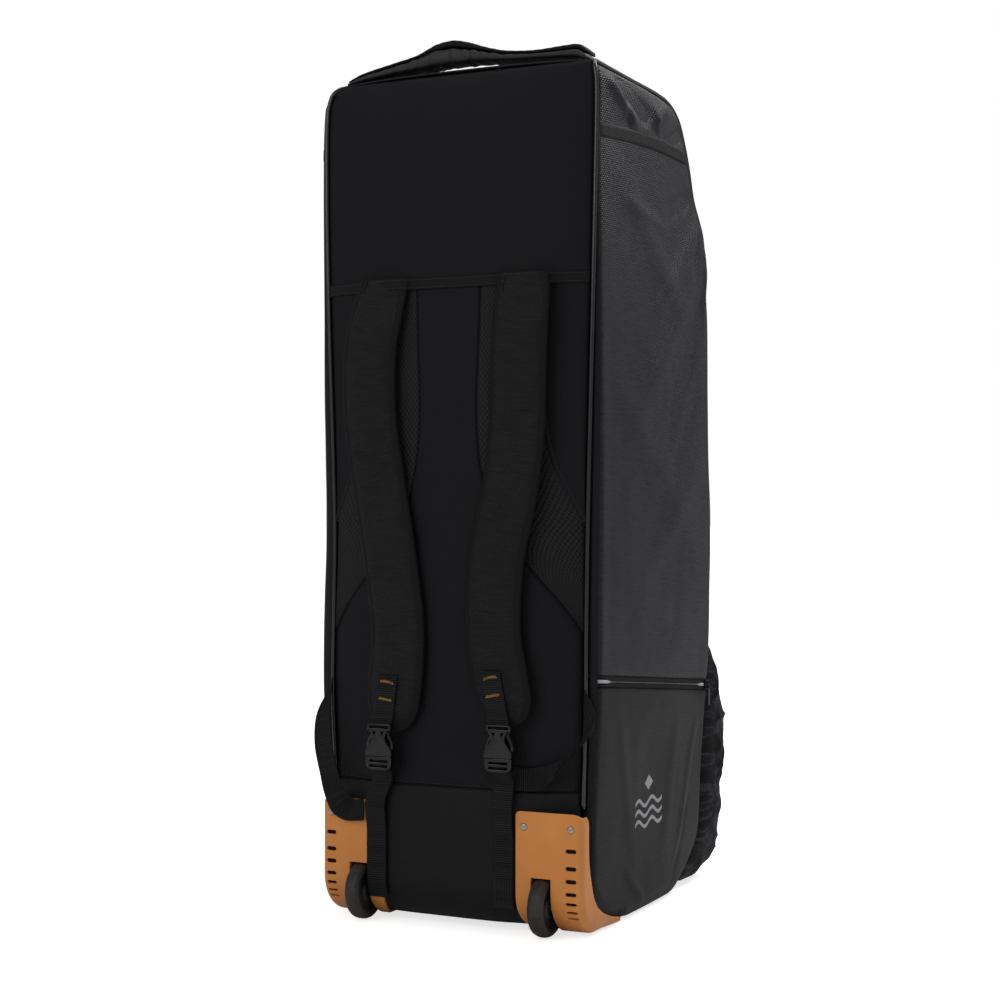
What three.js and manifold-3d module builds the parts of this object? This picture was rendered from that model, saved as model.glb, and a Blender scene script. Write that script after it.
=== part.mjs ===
import * as THREE from 'three';
import Module from 'manifold-3d';

// Wheeled cricket kit bag that stands on its end, in millimetres, +Z up.
// Its back, with the shoulder straps, faces -Y. Left and right are as seen from behind it.
// The origin lies on the floor under the middle of the bag.

const wasm = await Module();
wasm.setup();

// The cloth body
const BODY_HEIGHT = 962;
const BODY_WIDTH = 330;
const BODY_DEPTH = 378;
const WALL = 2.4;
const GAP = 0.3;
const BACK_CROWN = 25;
const CROWN_POWER = 2.8;
const FRONT_CROWN = 15;
const SIDE_PUFF = 11;
const SIDE_CROWN = 4;
const SEAM_ROUND = 11;
const END_ROUND = 24;
const PIPING_DIAMETER = 5;
const HEEL_RADIUS = 44;
const HEEL_LIFT = 6;
const SHOULDER_RADIUS = 12;

// Seams, tapes and zips
const BAND_HEIGHT = 13;
const BAND_Z = BODY_HEIGHT * 0.7547;
const KICK_SEAM_Z = 160;
const TAPE_HEIGHT = 16;
const TAPE_THICKNESS = 1.5;
const ZIP_HEIGHT = 12;
const ZIP_BACK_Z = 276;
const ZIP_DROP = 33;
const MAIN_ZIP_WIDTH = 28;
const MAIN_ZIP_SPREAD = 105;
const MAIN_ZIP_RADIUS = 70;
const MAIN_ZIP_ABOVE_POCKET = 25;
const MAIN_ZIP_BELOW_TOP = 34;
const SLIDER_LENGTH = 12;
const SLIDER_WIDTH = 9;
const SLIDER_THICKNESS = 4;
const PULL_LENGTH = 27;
const PULL_WIDTH = 6;

// Shoulder straps and webbing
const PAD_WIDTH = 64;
const PAD_THICKNESS = 13;
const PAD_EDGE = 5;
const PAD_BEVEL = 9;
const PAD_CLEARANCE = 7;
const BINDING = 3.4;
const WEBBING_WIDTH = 25;
const WEBBING_THICKNESS = 1.6;
const WEBBING_TO_WHEEL = 1.6;
const WEBBING_TO_GUARD = 2.5;
const BUCKLE_WIDTH = 33;
const BUCKLE_THICKNESS = 11;
const SOCKET_LENGTH = 36;
const PLUG_LENGTH = 16;
const PRONG_LENGTH = 16;
const BUCKLE_WALL = 2.3;

// Top handle
const HANDLE_DEPTH = 34;
const HANDLE_Y = 22;

// Wheels and corner guards
const GUARD_WIDTH = 79.5;
const GUARD_INSET = 1.5;
const GUARD_OUTER_X = BODY_WIDTH / 2 - GUARD_INSET;
const GUARD_INNER_X = GUARD_OUTER_X - GUARD_WIDTH;
const WHEEL_RADIUS = 33.5;
const WHEEL_WIDTH = 20;
const WHEEL_INSET = 30;
const WHEEL_X = GUARD_INNER_X + WHEEL_INSET;
const WHEEL_Y = -10;
const AXLE_RADIUS = 4;
const RUNNING_GAP = 2;
const GUARD_TOP = 138.7;
const GUARD_THICKNESS = 3;
const GUARD_ROUND = 10;
const GUARD_FLANGE = 22;
const FOOT_FLANGE = 5;
const FOOT_LENGTH = 64;
const FOOT_RAMP = 22;
const GUARD_TOP_ROUND = 12;
const GUARD_LOW_ROUND = 30;
const NOTCH_TOP = 66.5;
const SLOT_WIDTH = 12;
const SLOT_HEIGHT = 4.6;
const SLOT_INSET = 13.5;
const SLOT_X = GUARD_OUTER_X - SLOT_INSET;
const RIVET_RADIUS = 4.2;
const RIVET_HEIGHT = 2;
const RIVET_DROP = 16.7;
const RIVET_INSET_IN = 10;
const RIVET_INSET_OUT = 13.5;

const SEAM_REVEAL = PIPING_DIAMETER / 2 + GAP * 3.4;
const HEEL_START = HEEL_LIFT + HEEL_RADIUS;

// Half width at the piping, as shares of half the body width, by height
const WIDTH_ROWS = [
    { up: 0.000, left: 0.940, right: 0.925 },
    { up: 0.156, left: 0.952, right: 0.939 },
    { up: 0.264, left: 0.980, right: 0.955 },
    { up: 0.346, left: 0.974, right: 0.958 },
    { up: 0.478, left: 0.963, right: 0.970 },
    { up: 0.755, left: 1.015, right: 1.010 },
    { up: 0.904, left: 1.030, right: 1.030 },
    { up: 0.972, left: 1.018, right: 1.034 },
    { up: 0.990, left: 0.985, right: 1.022 },
    { up: 1.000, left: 0.930, right: 1.000 },
];

// How full the back is, as a share of its crown, by height
const CROWN_ROWS = [
    { up: 0.00, full: 1.00 },
    { up: 0.47, full: 1.00 },
    { up: 0.75, full: 0.90 },
    { up: 0.93, full: 0.70 },
    { up: 0.98, full: 0.42 },
    { up: 1.00, full: 0.12 },
];

// Girth of the body from the top of the back over the top, down the front and under the base:
// out is a share of the body depth, up a share of its height, full a share of the front crown
const GIRTH_ROWS = [
    { out: 0.000, up: 1.000, full: 0.25 },
    { out: 0.270, up: 1.000, full: 0.45 },
    { out: 0.542, up: 1.000, full: 0.60 },
    { out: 0.603, up: 0.997, full: 0.65 },
    { out: 0.675, up: 0.979, full: 0.75 },
    { out: 0.722, up: 0.956, full: 0.80 },
    { out: 0.775, up: 0.923, full: 0.85 },
    { out: 0.823, up: 0.886, full: 0.90 },
    { out: 0.873, up: 0.865, full: 0.95 },
    { out: 0.923, up: 0.841, full: 1.00 },
    { out: 0.958, up: 0.766, full: 1.00 },
    { out: 0.974, up: 0.572, full: 1.00 },
    { out: 1.000, up: 0.478, full: 1.00 },
    { out: 1.000, up: 0.407, full: 0.95 },
    { out: 0.995, up: 0.315, full: 0.85 },
    { out: 0.974, up: 0.254, full: 0.80 },
    { out: 0.958, up: 0.144, full: 0.60 },
    { out: 0.931, up: 0.066, full: 0.35 },
    { out: 0.841, up: 0.036, full: 0.15 },
    { out: 0.754, up: 0.016, full: 0.05 },
    { out: 0.690, up: 0.000, full: 0.00 },
    { out: 0.600, up: 0.000, full: 0.00 },
    { out: 0.450, up: 0.000, full: 0.00 },
    { out: 0.305, up: 0.000, full: 0.00 },
];
const TOP_SEAM_ROW = 6;
const FRONT_END_ROW = 18;
const BASE_START_ROW = 20;

// Edge of the middle panel of the back and outer edge of the mesh, as shares of half width
const BACK_SEAM_ROWS = [
    { up: 0.337, centre: 0.975, mesh: 1.20 },
    { up: 0.345, centre: 0.950, mesh: 1.18 },
    { up: 0.362, centre: 0.890, mesh: 1.15 },
    { up: 0.379, centre: 0.818, mesh: 1.12 },
    { up: 0.399, centre: 0.715, mesh: 1.08 },
    { up: 0.430, centre: 0.545, mesh: 1.03 },
    { up: 0.452, centre: 0.430, mesh: 1.00 },
    { up: 0.474, centre: 0.350, mesh: 0.96 },
    { up: 0.509, centre: 0.290, mesh: 0.86 },
    { up: 0.546, centre: 0.240, mesh: 0.755 },
    { up: 0.603, centre: 0.215, mesh: 0.690 },
    { up: 0.679, centre: 0.230, mesh: 0.630 },
    { up: 0.760, centre: 0.245, mesh: 0.595 },
];
const MESH_LOW = 0.345;
const YOKE_LOW = 0.474;

// Middle line of each shoulder strap, as shares of the body height and of half its width
const STRAP_ROWS = {
    left: [
        { up: 0.232, x: -0.405, wide: 0.30 },
        { up: 0.240, x: -0.402, wide: 0.66 },
        { up: 0.254, x: -0.393, wide: 0.90 },
        { up: 0.278, x: -0.378, wide: 1.00 },
        { up: 0.345, x: -0.352, wide: 1.00 },
        { up: 0.429, x: -0.412, wide: 1.00 },
        { up: 0.515, x: -0.497, wide: 1.00 },
        { up: 0.585, x: -0.564, wide: 1.00 },
        { up: 0.633, x: -0.582, wide: 1.00 },
        { up: 0.681, x: -0.570, wide: 1.00 },
        { up: 0.728, x: -0.521, wide: 0.96 },
        { up: 0.753, x: -0.480, wide: 0.84 },
    ],
    right: [
        { up: 0.246, x: 0.500, wide: 0.30 },
        { up: 0.254, x: 0.490, wide: 0.66 },
        { up: 0.268, x: 0.465, wide: 0.90 },
        { up: 0.292, x: 0.421, wide: 1.00 },
        { up: 0.348, x: 0.367, wide: 1.00 },
        { up: 0.430, x: 0.388, wide: 1.00 },
        { up: 0.514, x: 0.491, wide: 1.00 },
        { up: 0.582, x: 0.539, wide: 1.00 },
        { up: 0.627, x: 0.545, wide: 1.00 },
        { up: 0.672, x: 0.552, wide: 1.00 },
        { up: 0.728, x: 0.570, wide: 0.96 },
        { up: 0.753, x: 0.576, wide: 0.84 },
    ],
};

// Webbing between the strap's end and the bag, as shares of half width and height; the buckle
// closes at the height named fastened, and low names the webbing's lower end
const WEBBING_ROWS = {
    left: { tabX: -0.373, tabUp: 0.293, joinX: -0.455, fastened: 0.2005, lowUp: 0.030 },
    right: { tabX: 0.397, tabUp: 0.301, joinX: 0.446, fastened: 0.2065, lowUp: 0.030 },
};

// Side loops: two edges of the webbing, as shares of half width and height, and how far
// each stands behind the piping line
const LOOP_ROWS = {
    right: [
        { x: 0.957, up: 0.294, off: 3.6, x2: 0.955, up2: 0.268, off2: 3.6 },
        { x: 1.045, up: 0.272, off: 13, x2: 1.030, up2: 0.245, off2: 17 },
        { x: 1.042, up: 0.250, off: 24, x2: 0.970, up2: 0.225, off2: 25 },
        { x: 0.960, up: 0.227, off: 26, x2: 0.862, up2: 0.204, off2: 26 },
        { x: 0.836, up: 0.208, off: 24, x2: 0.776, up2: 0.183, off2: 24 },
        { x: 0.697, up: 0.196, off: 21, x2: 0.679, up2: 0.169, off2: 21 },
        { x: 0.557, up: 0.194, off: 22, x2: 0.557, up2: 0.167, off2: 22 },
        { x: 0.376, up: 0.198, off: 25, x2: 0.364, up2: 0.172, off2: 25 },
        { x: 0.303, up: 0.205, off: 25.8, x2: 0.285, up2: 0.179, off2: 25.8 },
    ],
    left: [
        { x: -0.980, up: 0.275, off: 3.4, x2: -0.972, up2: 0.287, off2: 3.4 },
        { x: -1.060, up: 0.244, off: 14, x2: -0.952, up2: 0.250, off2: 14 },
        { x: -1.042, up: 0.208, off: 25, x2: -0.903, up2: 0.214, off2: 25 },
        { x: -0.988, up: 0.172, off: 27.7, x2: -0.848, up2: 0.179, off2: 27.7 },
        { x: -0.945, up: 0.146, off: 28.3, x2: -0.795, up2: 0.156, off2: 28.3 },
        { x: -0.885, up: 0.127, off: 28.3, x2: -0.751, up2: 0.148, off2: 28.3 },
        { x: -0.790, up: 0.119, off: 28.3, x2: -0.715, up2: 0.145, off2: 28.3 },
        { x: -0.636, up: 0.120, off: 28.3, x2: -0.636, up2: 0.146, off2: 28.3 },
    ],
};

// Underside, crest and wrapped top of the carrying handle: millimetres above the body height,
// along a share of half the body width
const HANDLE_ROWS = [
    { x: -0.905, low: 0.9, mid: 5, high: 8 },
    { x: -0.800, low: 5, mid: 11, high: 14.5 },
    { x: -0.515, low: 9, mid: 19, high: 23.5 },
    { x: -0.340, low: 12, mid: 25, high: 29 },
    { x: -0.200, low: 13, mid: 31, high: 38.5 },
    { x: -0.080, low: 13.5, mid: 33, high: 45 },
    { x: 0.040, low: 13, mid: 32, high: 44 },
    { x: 0.150, low: 12, mid: 30, high: 40.5 },
    { x: 0.290, low: 10.5, mid: 26, high: 33 },
    { x: 0.575, low: 9, mid: 21, high: 25.5 },
    { x: 0.870, low: 6, mid: 16, high: 22 },
    { x: 0.940, low: 1.1, mid: 8, high: 13 },
];

// Seam line and fullest line of the front pocket, top to bottom, as shares of depth and height
const POCKET_ROWS = [
    { down: 0.00, seamUp: 0.316, out: 1.048, up: 0.318 },
    { down: 0.10, seamUp: 0.290, out: 1.085, up: 0.295 },
    { down: 0.20, seamUp: 0.262, out: 1.105, up: 0.266 },
    { down: 0.30, seamUp: 0.232, out: 1.143, up: 0.235 },
    { down: 0.40, seamUp: 0.198, out: 1.178, up: 0.203 },
    { down: 0.50, seamUp: 0.163, out: 1.186, up: 0.170 },
    { down: 0.60, seamUp: 0.128, out: 1.138, up: 0.130 },
    { down: 0.70, seamUp: 0.098, out: 1.160, up: 0.096 },
    { down: 0.80, seamUp: 0.062, out: 1.150, up: 0.055 },
    { down: 0.88, seamUp: 0.044, out: 1.120, up: 0.026 },
    { down: 0.94, seamUp: 0.028, out: 0.985, up: 0.010 },
    { down: 1.00, seamUp: 0.015, out: 0.820, up: 0.006 },
];

// How square the pocket is in plan, and how far it bulges sideways
const POCKET_CORNER = 0.24;
const POCKET_SIDE_PUFF = 23;

// Creases of the front pocket: depth in mm, how many across and down, and where they start
const POCKET_FOLDS = [
    { deep: 4.5, across: 2.3, down: 3.2, start: 0.4 },
    { deep: 3.0, across: -3.6, down: 5.1, start: 1.9 },
    { deep: 2.2, across: 5.2, down: 7.3, start: 3.0 },
];

// Vent slots of a corner guard: how far each lies below the guard's top, along its surface
const SLOT_ROWS = [
    { along: 40, high: 1.0 },
    { along: 59, high: 1.0 },
    { along: 73, high: 1.0 },
    { along: 87, high: 0.9 },
    { along: 98, high: 0.8 },
    { along: 108, high: 0.7 },
    { along: 116, high: 0.6 },
];

// Section of half a wheel, from the bore outwards, as shares of half width and radius
const WHEEL_ROWS = [
    { wide: 0.80, far: 0.36 },
    { wide: 0.55, far: 0.44 },
    { wide: 0.55, far: 0.66 },
    { wide: 0.90, far: 0.74 },
    { wide: 0.96, far: 0.86 },
    { wide: 0.72, far: 0.965 },
    { wide: 0.35, far: 1.00 },
];

// How far each side stands out past its seams, as a share of the side puff, by height
const PUFF_ROWS = [
    { up: 0.00, left: 1.00, right: 1.00 },
    { up: 0.16, left: 1.30, right: 1.00 },
    { up: 0.28, left: 1.78, right: 1.25 },
    { up: 0.45, left: 1.72, right: 1.25 },
    { up: 0.62, left: 1.50, right: 1.00 },
    { up: 0.76, left: 1.15, right: 0.62 },
    { up: 0.90, left: 0.95, right: 0.20 },
    { up: 1.00, left: 0.90, right: 0.30 },
];

const COLOURS = {
    backCloth: 0x1e1e20,
    sideCloth: 0x2f2f33,
    mesh: 0x141415,
    strap: 0x262627,
    webbing: 0x1a1a1b,
    buckle: 0x2c2e31,
    zip: 0x202023,
    guard: 0xc98e50,
    rubber: 0x3a3a3c,
    steel: 0xc0bdb8,
};

const materials = Object.fromEntries(Object.entries(COLOURS).map(([name, color]) => [
    name,
    new THREE.MeshStandardMaterial({
        color,
        roughness: name === 'steel' ? 0.3 : 0.75,
        metalness: name === 'steel' ? 0.9 : 0,
    }),
]));

const bag = new THREE.Group();

function add(name, geometry, material) {
    const mesh = new THREE.Mesh(geometry, materials[material]);
    mesh.name = name;
    bag.add(mesh);
    return mesh;
}

// A closed solid of points and triangles, turned so that its faces point out
function solid(points, triangles) {
    let volume = 0;
    for (const [a, b, c] of triangles) {
        volume += points[a].dot(new THREE.Vector3().crossVectors(points[b], points[c]));
    }
    const index = triangles.flatMap(([a, b, c]) => (volume < 0 ? [a, c, b] : [a, b, c]));
    const geometry = new THREE.BufferGeometry();
    const places = points.flatMap((point) => point.toArray());
    geometry.setAttribute('position', new THREE.Float32BufferAttribute(places, 3));
    geometry.setIndex(index);
    return geometry;
}

// A cloth or plastic wall whose outer face is at(u, v), with u and v from 0 to 1
function wall(at, columns, rows, thickness, inside = new THREE.Vector3(0, BODY_DEPTH / 2, BODY_HEIGHT / 2)) {
    const step = 1e-3;
    const slope = (u, v, du, dv) => at(Math.min(u + du, 1), Math.min(v + dv, 1))
        .sub(at(Math.max(u - du, 0), Math.max(v - dv, 0)));
    const normalAt = (u, v) => slope(u, v, step, 0).cross(slope(u, v, 0, step)).normalize();
    const outward = normalAt(0.5, 0.5).dot(at(0.5, 0.5).sub(inside)) > 0 ? 1 : -1;
    const us = stops(columns);
    const vs = stops(rows);
    const outer = vs.flatMap((v) => us.map((u) => at(u, v)));
    const inner = vs.flatMap((v) => us.map((u) => {
        const normal = normalAt(u, v).multiplyScalar(outward * thickness);
        return at(u, v).sub(normal);
    }));
    const wide = us.length;
    const high = vs.length;
    const triangles = [];
    const quad = (a, b, c, d) => triangles.push([a, b, c], [a, c, d]);
    for (let j = 0; j + 1 < high; j += 1) {
        for (let i = 0; i + 1 < wide; i += 1) {
            const a = j * wide + i;
            const back = outer.length;
            quad(a, a + 1, a + 1 + wide, a + wide);
            quad(a + back, a + wide + back, a + 1 + wide + back, a + 1 + back);
        }
    }
    const rim = [];
    for (let i = 0; i < wide - 1; i += 1) rim.push(i);
    for (let j = 0; j < high - 1; j += 1) rim.push(j * wide + wide - 1);
    for (let i = wide - 1; i > 0; i -= 1) rim.push((high - 1) * wide + i);
    for (let j = high - 1; j > 0; j -= 1) rim.push(j * wide);
    rim.forEach((a, k) => {
        const b = rim[(k + 1) % rim.length];
        quad(b, a, a + outer.length, b + outer.length);
    });
    return solid([...outer, ...inner], triangles);
}

// Even stops from 0 to 1 for a count, or the list of stops itself
function stops(count) {
    return Array.isArray(count) ? count : Array.from({ length: count + 1 }, (_, i) => i / count);
}

// Stops that crowd towards both ends, for a face that turns quickly at its seams
const SEAM_STOPS = [0, 0.009, 0.03, 0.205, 0.3, 0.6, 0.86, 0.968, 0.991, 1];

// A solid through rings of points, closed by a flat face at each end
function loft(rings) {
    const count = rings[0].length;
    const triangles = [];
    for (let j = 0; j + 1 < rings.length; j += 1) {
        for (let i = 0; i < count; i += 1) {
            const a = j * count + i;
            const b = j * count + ((i + 1) % count);
            triangles.push([a, b, b + count], [a, b + count, a + count]);
        }
    }
    const last = (rings.length - 1) * count;
    for (let i = 1; i + 1 < count; i += 1) {
        triangles.push([0, i + 1, i], [last, last + i, last + i + 1]);
    }
    return solid(rings.flat(), triangles);
}

// The value of a column at a place among rows, smooth from row to row
function between(rows, key, place, column) {
    const last = rows.length - 1;
    const clamped = Math.min(Math.max(place, rows[0][key]), rows[last][key]);
    let i = 0;
    while (i < last - 1 && rows[i + 1][key] < clamped) i += 1;
    const slopeAt = (k) => {
        const low = rows[Math.max(k - 1, 0)];
        const high = rows[Math.min(k + 1, last)];
        return (high[column] - low[column]) / (high[key] - low[key]);
    };
    const span = rows[i + 1][key] - rows[i][key];
    const t = (clamped - rows[i][key]) / span;
    const start = rows[i][column];
    const rise = rows[i + 1][column] - start;
    const bend = slopeAt(i) * span - rise;
    const unbend = rise - slopeAt(i + 1) * span;
    return start + t * rise + t * (1 - t) * (bend * (1 - t) + unbend * t);
}

function halfWidth(side, z) {
    return (BODY_WIDTH / 2) * between(WIDTH_ROWS, 'up', z / BODY_HEIGHT, side < 0 ? 'left' : 'right');
}

// How far a panel's edge stays from a slanted seam, so that it clears the piping squarely
function reveal(seamAt, z) {
    const step = 4;
    const slope = (seamAt(Math.min(z + step, BODY_HEIGHT)) - seamAt(Math.max(z - step, 0))) / (2 * step);
    return SEAM_REVEAL * Math.min(Math.hypot(1, slope), 3);
}

// The half width that a panel of the back, top or front may fill
function panelHalf(side, z) {
    return halfWidth(side, z) - reveal((at) => halfWidth(side, at), z);
}

// Outer face of the back
function backY(x, z) {
    const share = Math.min(1, Math.abs(x) / halfWidth(x, z));
    const full = between(CROWN_ROWS, 'up', z / BODY_HEIGHT, 'full');
    return -BACK_CROWN * full * (1 - share ** CROWN_POWER);
}

const girthCurve = new THREE.CatmullRomCurve3(GIRTH_ROWS.map(
    (row) => new THREE.Vector3(row.full, row.out * BODY_DEPTH, row.up * BODY_HEIGHT),
), false, 'centripetal');
const girthOf = (row) => row / (GIRTH_ROWS.length - 1);
const girthSamples = girthCurve.getPoints(600);

// How far the front seam stands from the back seam at a height
function frontY(z) {
    const places = girthSamples.slice(0, Math.ceil(girthOf(BASE_START_ROW) * 600) + 1);
    const i = places.findIndex((point) => point.z <= z && point.y > BODY_DEPTH * 0.5);
    if (i <= 0) return BODY_DEPTH * GIRTH_ROWS[BASE_START_ROW].out;
    const low = places[i];
    const high = places[i - 1];
    const t = high.z > low.z ? (z - low.z) / (high.z - low.z) : 0;
    return low.y + (high.y - low.y) * t;
}

// The rounded heel where the back turns under the base
function heelY(z) {
    const drop = Math.min(Math.max(HEEL_START - z, 0), HEEL_RADIUS);
    return HEEL_RADIUS - Math.sqrt(HEEL_RADIUS ** 2 - drop ** 2);
}

// The rounded shoulder where a side meets the back and the top
function shoulderY(z) {
    const rise = Math.min(Math.max(z - BODY_HEIGHT + SHOULDER_RADIUS, 0), SHOULDER_RADIUS);
    return SHOULDER_RADIUS - Math.sqrt(SHOULDER_RADIUS ** 2 - rise ** 2);
}

// A quarter round from 0 at a seam to 1 at its radius
function quarter(distance, radius) {
    const left = 1 - Math.min(Math.max(distance / radius, 0), 1);
    return Math.sqrt(1 - left * left);
}

// Outer face of a side panel; across runs from the back seam to the front seam
function sidePoint(side, across, z) {
    const back = heelY(z) + shoulderY(z) + reveal(shoulderY, z);
    const front = frontY(z) - reveal(frontY, z);
    const y = back + (front - back) * across;
    const seams = quarter(y - back, SEAM_ROUND) * quarter(front - y, SEAM_ROUND);
    const ends = quarter(z - sideFloor(across), END_ROUND) * quarter(BODY_HEIGHT - z, END_ROUND);
    const share = between(PUFF_ROWS, 'up', z / BODY_HEIGHT, side < 0 ? 'left' : 'right');
    const puff = (SIDE_PUFF * share * seams + SIDE_CROWN * Math.sin(Math.PI * across)) * ends;
    return new THREE.Vector3(side * (halfWidth(side, z) + puff), y, z);
}

// Height of the base edge of a side panel, above the foot of the corner guard at its back
function sideFloor(across) {
    const y = HEEL_RADIUS + across * (BODY_DEPTH * GIRTH_ROWS[BASE_START_ROW].out - HEEL_RADIUS);
    return baseLift(y) + 1;
}

// Where the foot of the corner guard ends under the base
function footEnd() {
    return backY(GUARD_INNER_X, HEEL_START) + HEEL_RADIUS + FOOT_LENGTH + GAP * 4;
}

// The base lies over the guards' feet, and beyond them it settles on the floor
function baseLift(y) {
    const t = Math.min(Math.max((y - footEnd()) / FOOT_RAMP, 0), 1);
    return HEEL_LIFT * (1 - t * t * (3 - 2 * t));
}

// Middle of the tape that crosses a side near the top
function sideTapeZ(across) {
    return BODY_HEIGHT * (0.9245 + 0.011 * Math.sin(Math.PI * Math.min(across * 1.15, 1)));
}

// Middle of the zip over the lower pocket
function zipZ(across) {
    return ZIP_BACK_Z + ZIP_HEIGHT / 2 - ZIP_DROP * across;
}

const LOW_STOPS = [0, 0.035, 0.09, 0.18, 0.4, 0.7, 1];
const SIDE_STOPS = [0, 0.011, 0.028, 0.056, 0.125, 0.215, 0.265, 0.32, 0.41, 0.51, 0.62, 0.73, 0.81, 0.87, 0.91, 0.95, 1];
const UPPER_STOPS = [0, 0.15, 0.3, 0.45, 0.6, 0.72, 0.8, 0.86, 0.91, 0.95, 1];

function sideWall(side, lowAt, highAt, columns, rows) {
    return wall((u, v) => {
        const low = lowAt(u);
        return sidePoint(side, u, low + (highAt(u) - low) * v);
    }, columns, rows, WALL);
}

function addSides() {
    const tapeLow = (u) => sideTapeZ(u) - GAP / 2;
    const tapeHigh = (u) => sideTapeZ(u) + GAP / 2;
    const top = (u) => BODY_HEIGHT - SEAM_REVEAL - 7 * Math.max((u - 0.75) / 0.25, 0) ** 2;
    const zipTop = (u) => zipZ(u) + ZIP_HEIGHT / 2;
    const zipLow = (u) => zipZ(u) - ZIP_HEIGHT / 2;
    add('side_panel_left', sideWall(-1, sideFloor, tapeLow, SEAM_STOPS, SIDE_STOPS), 'sideCloth');
    add('side_panel_right', sideWall(1, (u) => zipTop(u) + GAP, tapeLow, SEAM_STOPS, UPPER_STOPS), 'sideCloth');
    add('cooler_pocket', sideWall(1, sideFloor, (u) => zipLow(u) - GAP, SEAM_STOPS, LOW_STOPS), 'sideCloth');
    add('zip_tape', sideWall(1, zipLow, zipTop, SEAM_STOPS, 1), 'zip');
    for (const [name, side] of [['left', -1], ['right', 1]]) {
        const crownStops = [0, 0.4, 0.75, 0.92, 1];
        add(`side_crown_${name}`, sideWall(side, tapeHigh, top, SEAM_STOPS, crownStops), 'sideCloth');
        add(`side_tape_${name}`, wall((u, v) => {
            const z = sideTapeZ(u) + TAPE_HEIGHT * (v - 0.5);
            const point = sidePoint(side, 0.03 + 0.94 * u, z);
            point.x += side * (GAP + TAPE_THICKNESS);
            return point;
        }, 7, 1, TAPE_THICKNESS), 'sideCloth');
    }
}

function backPoint(x, z) {
    return new THREE.Vector3(x, backY(x, z), z);
}

// A panel of the back between two edges that may follow the height
function backWall(leftAt, rightAt, low, high, columns, rows) {
    return wall((u, v) => {
        const z = low + (high - low) * v;
        const left = leftAt(z);
        return backPoint(left + (rightAt(z) - left) * u, z);
    }, columns, rows, WALL);
}

function addBackPanels() {
    const seam = BAND_Z + BAND_HEIGHT / 2;
    const edge = (side) => (z) => side * panelHalf(side, z);
    const seamAt = (side, column) => (z) => side * Math.min(
        (BODY_WIDTH / 2) * between(BACK_SEAM_ROWS, 'up', z / BODY_HEIGHT, column),
        panelHalf(side, z),
    );
    const upperStops = [0, 0.25, 0.5, 0.7, 0.82, 0.9, 0.95, 0.98, 1];
    const upper = backWall(edge(-1), edge(1), seam + GAP / 2, BODY_HEIGHT - GAP, 8, upperStops);
    add('upper_back_panel', upper, 'backCloth');
    const top = seam - GAP / 2;
    const stations = [...BACK_SEAM_ROWS.slice(0, -1).map((row) => row.up * BODY_HEIGHT), top];
    const shared = (low) => [low, ...stations.filter((z) => z > low + 1)]
        .map((z) => (z - low) / (top - low));
    const centreLow = KICK_SEAM_Z + GAP;
    const centre = backWall(
        seamAt(-1, 'centre'), seamAt(1, 'centre'), centreLow, top, 8, shared(centreLow));
    add('centre_panel', centre, 'backCloth');
    for (const [name, side] of [['left', -1], ['right', 1]]) {
        const centreEdge = (z) => seamAt(side, 'centre')(z) + side * GAP * 2;
        const meshEdge = seamAt(side, 'mesh');
        const yokeEdge = (z) => meshEdge(z) + side * GAP * 2;
        const meshLow = MESH_LOW * BODY_HEIGHT;
        const yokeLow = YOKE_LOW * BODY_HEIGHT;
        add(`mesh_panel_${name}`, backWall(centreEdge, meshEdge, meshLow, top, 3, shared(meshLow)), 'mesh');
        add(`yoke_panel_${name}`, backWall(yokeEdge, edge(side), yokeLow, top, 2, shared(yokeLow)), 'backCloth');
    }
    add('strap_band', wall((u, v) => {
        const z = BAND_Z + BAND_HEIGHT * v;
        const point = backPoint(edge(-1)(z) + (edge(1)(z) - edge(-1)(z)) * u, z);
        point.y -= GAP * 2 + TAPE_THICKNESS;
        return point;
    }, 10, 1, TAPE_THICKNESS), 'webbing');
}

// The low back panel runs down from its seam and round the heel to the base
const KICK_STRAIGHT = KICK_SEAM_Z - HEEL_START;
const HEEL_ARC = HEEL_RADIUS * Math.PI / 2;

function kickPoint(x, along) {
    const turn = Math.max(along - KICK_STRAIGHT, 0) / HEEL_RADIUS;
    const z = KICK_SEAM_Z - Math.min(along, KICK_STRAIGHT) - HEEL_RADIUS * Math.sin(turn);
    const y = backY(x, Math.max(z, HEEL_START)) + HEEL_RADIUS * (1 - Math.cos(turn));
    return new THREE.Vector3(x, y, z);
}

// Outer face of the back at any height, round the heel too
function backFace(x, z) {
    return backY(x, Math.max(z, HEEL_START)) + heelY(z);
}

// A carton of six flat faces between two corners
function block(x0, x1, y0, y1, z0, z1) {
    const geometry = new THREE.BoxGeometry(x1 - x0, y1 - y0, z1 - z0);
    geometry.translate((x0 + x1) / 2, (y0 + y1) / 2, (z0 + z1) / 2);
    return geometry;
}

// A three.js geometry as a solid that can be joined and cut
function toManifold(geometry) {
    const source = geometry.index ? geometry.toNonIndexed() : geometry;
    const place = source.getAttribute('position');
    const seen = new Map();
    const corners = [];
    const triangles = [];
    for (let i = 0; i < place.count; i += 1) {
        const point = [place.getX(i), place.getY(i), place.getZ(i)].map(Math.fround);
        const key = point.map((value) => value.toFixed(4)).join(' ');
        if (!seen.has(key)) {
            seen.set(key, seen.size);
            corners.push(...point);
        }
        triangles.push(seen.get(key));
    }
    return new wasm.Manifold(new wasm.Mesh({
        numProp: 3,
        vertProperties: new Float32Array(corners),
        triVerts: new Uint32Array(triangles),
    }));
}

function fromManifold(body) {
    const mesh = body.getMesh();
    const geometry = new THREE.BufferGeometry();
    geometry.setAttribute('position', new THREE.Float32BufferAttribute(mesh.vertProperties, 3));
    geometry.setIndex([...mesh.triVerts]);
    return geometry;
}

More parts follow.
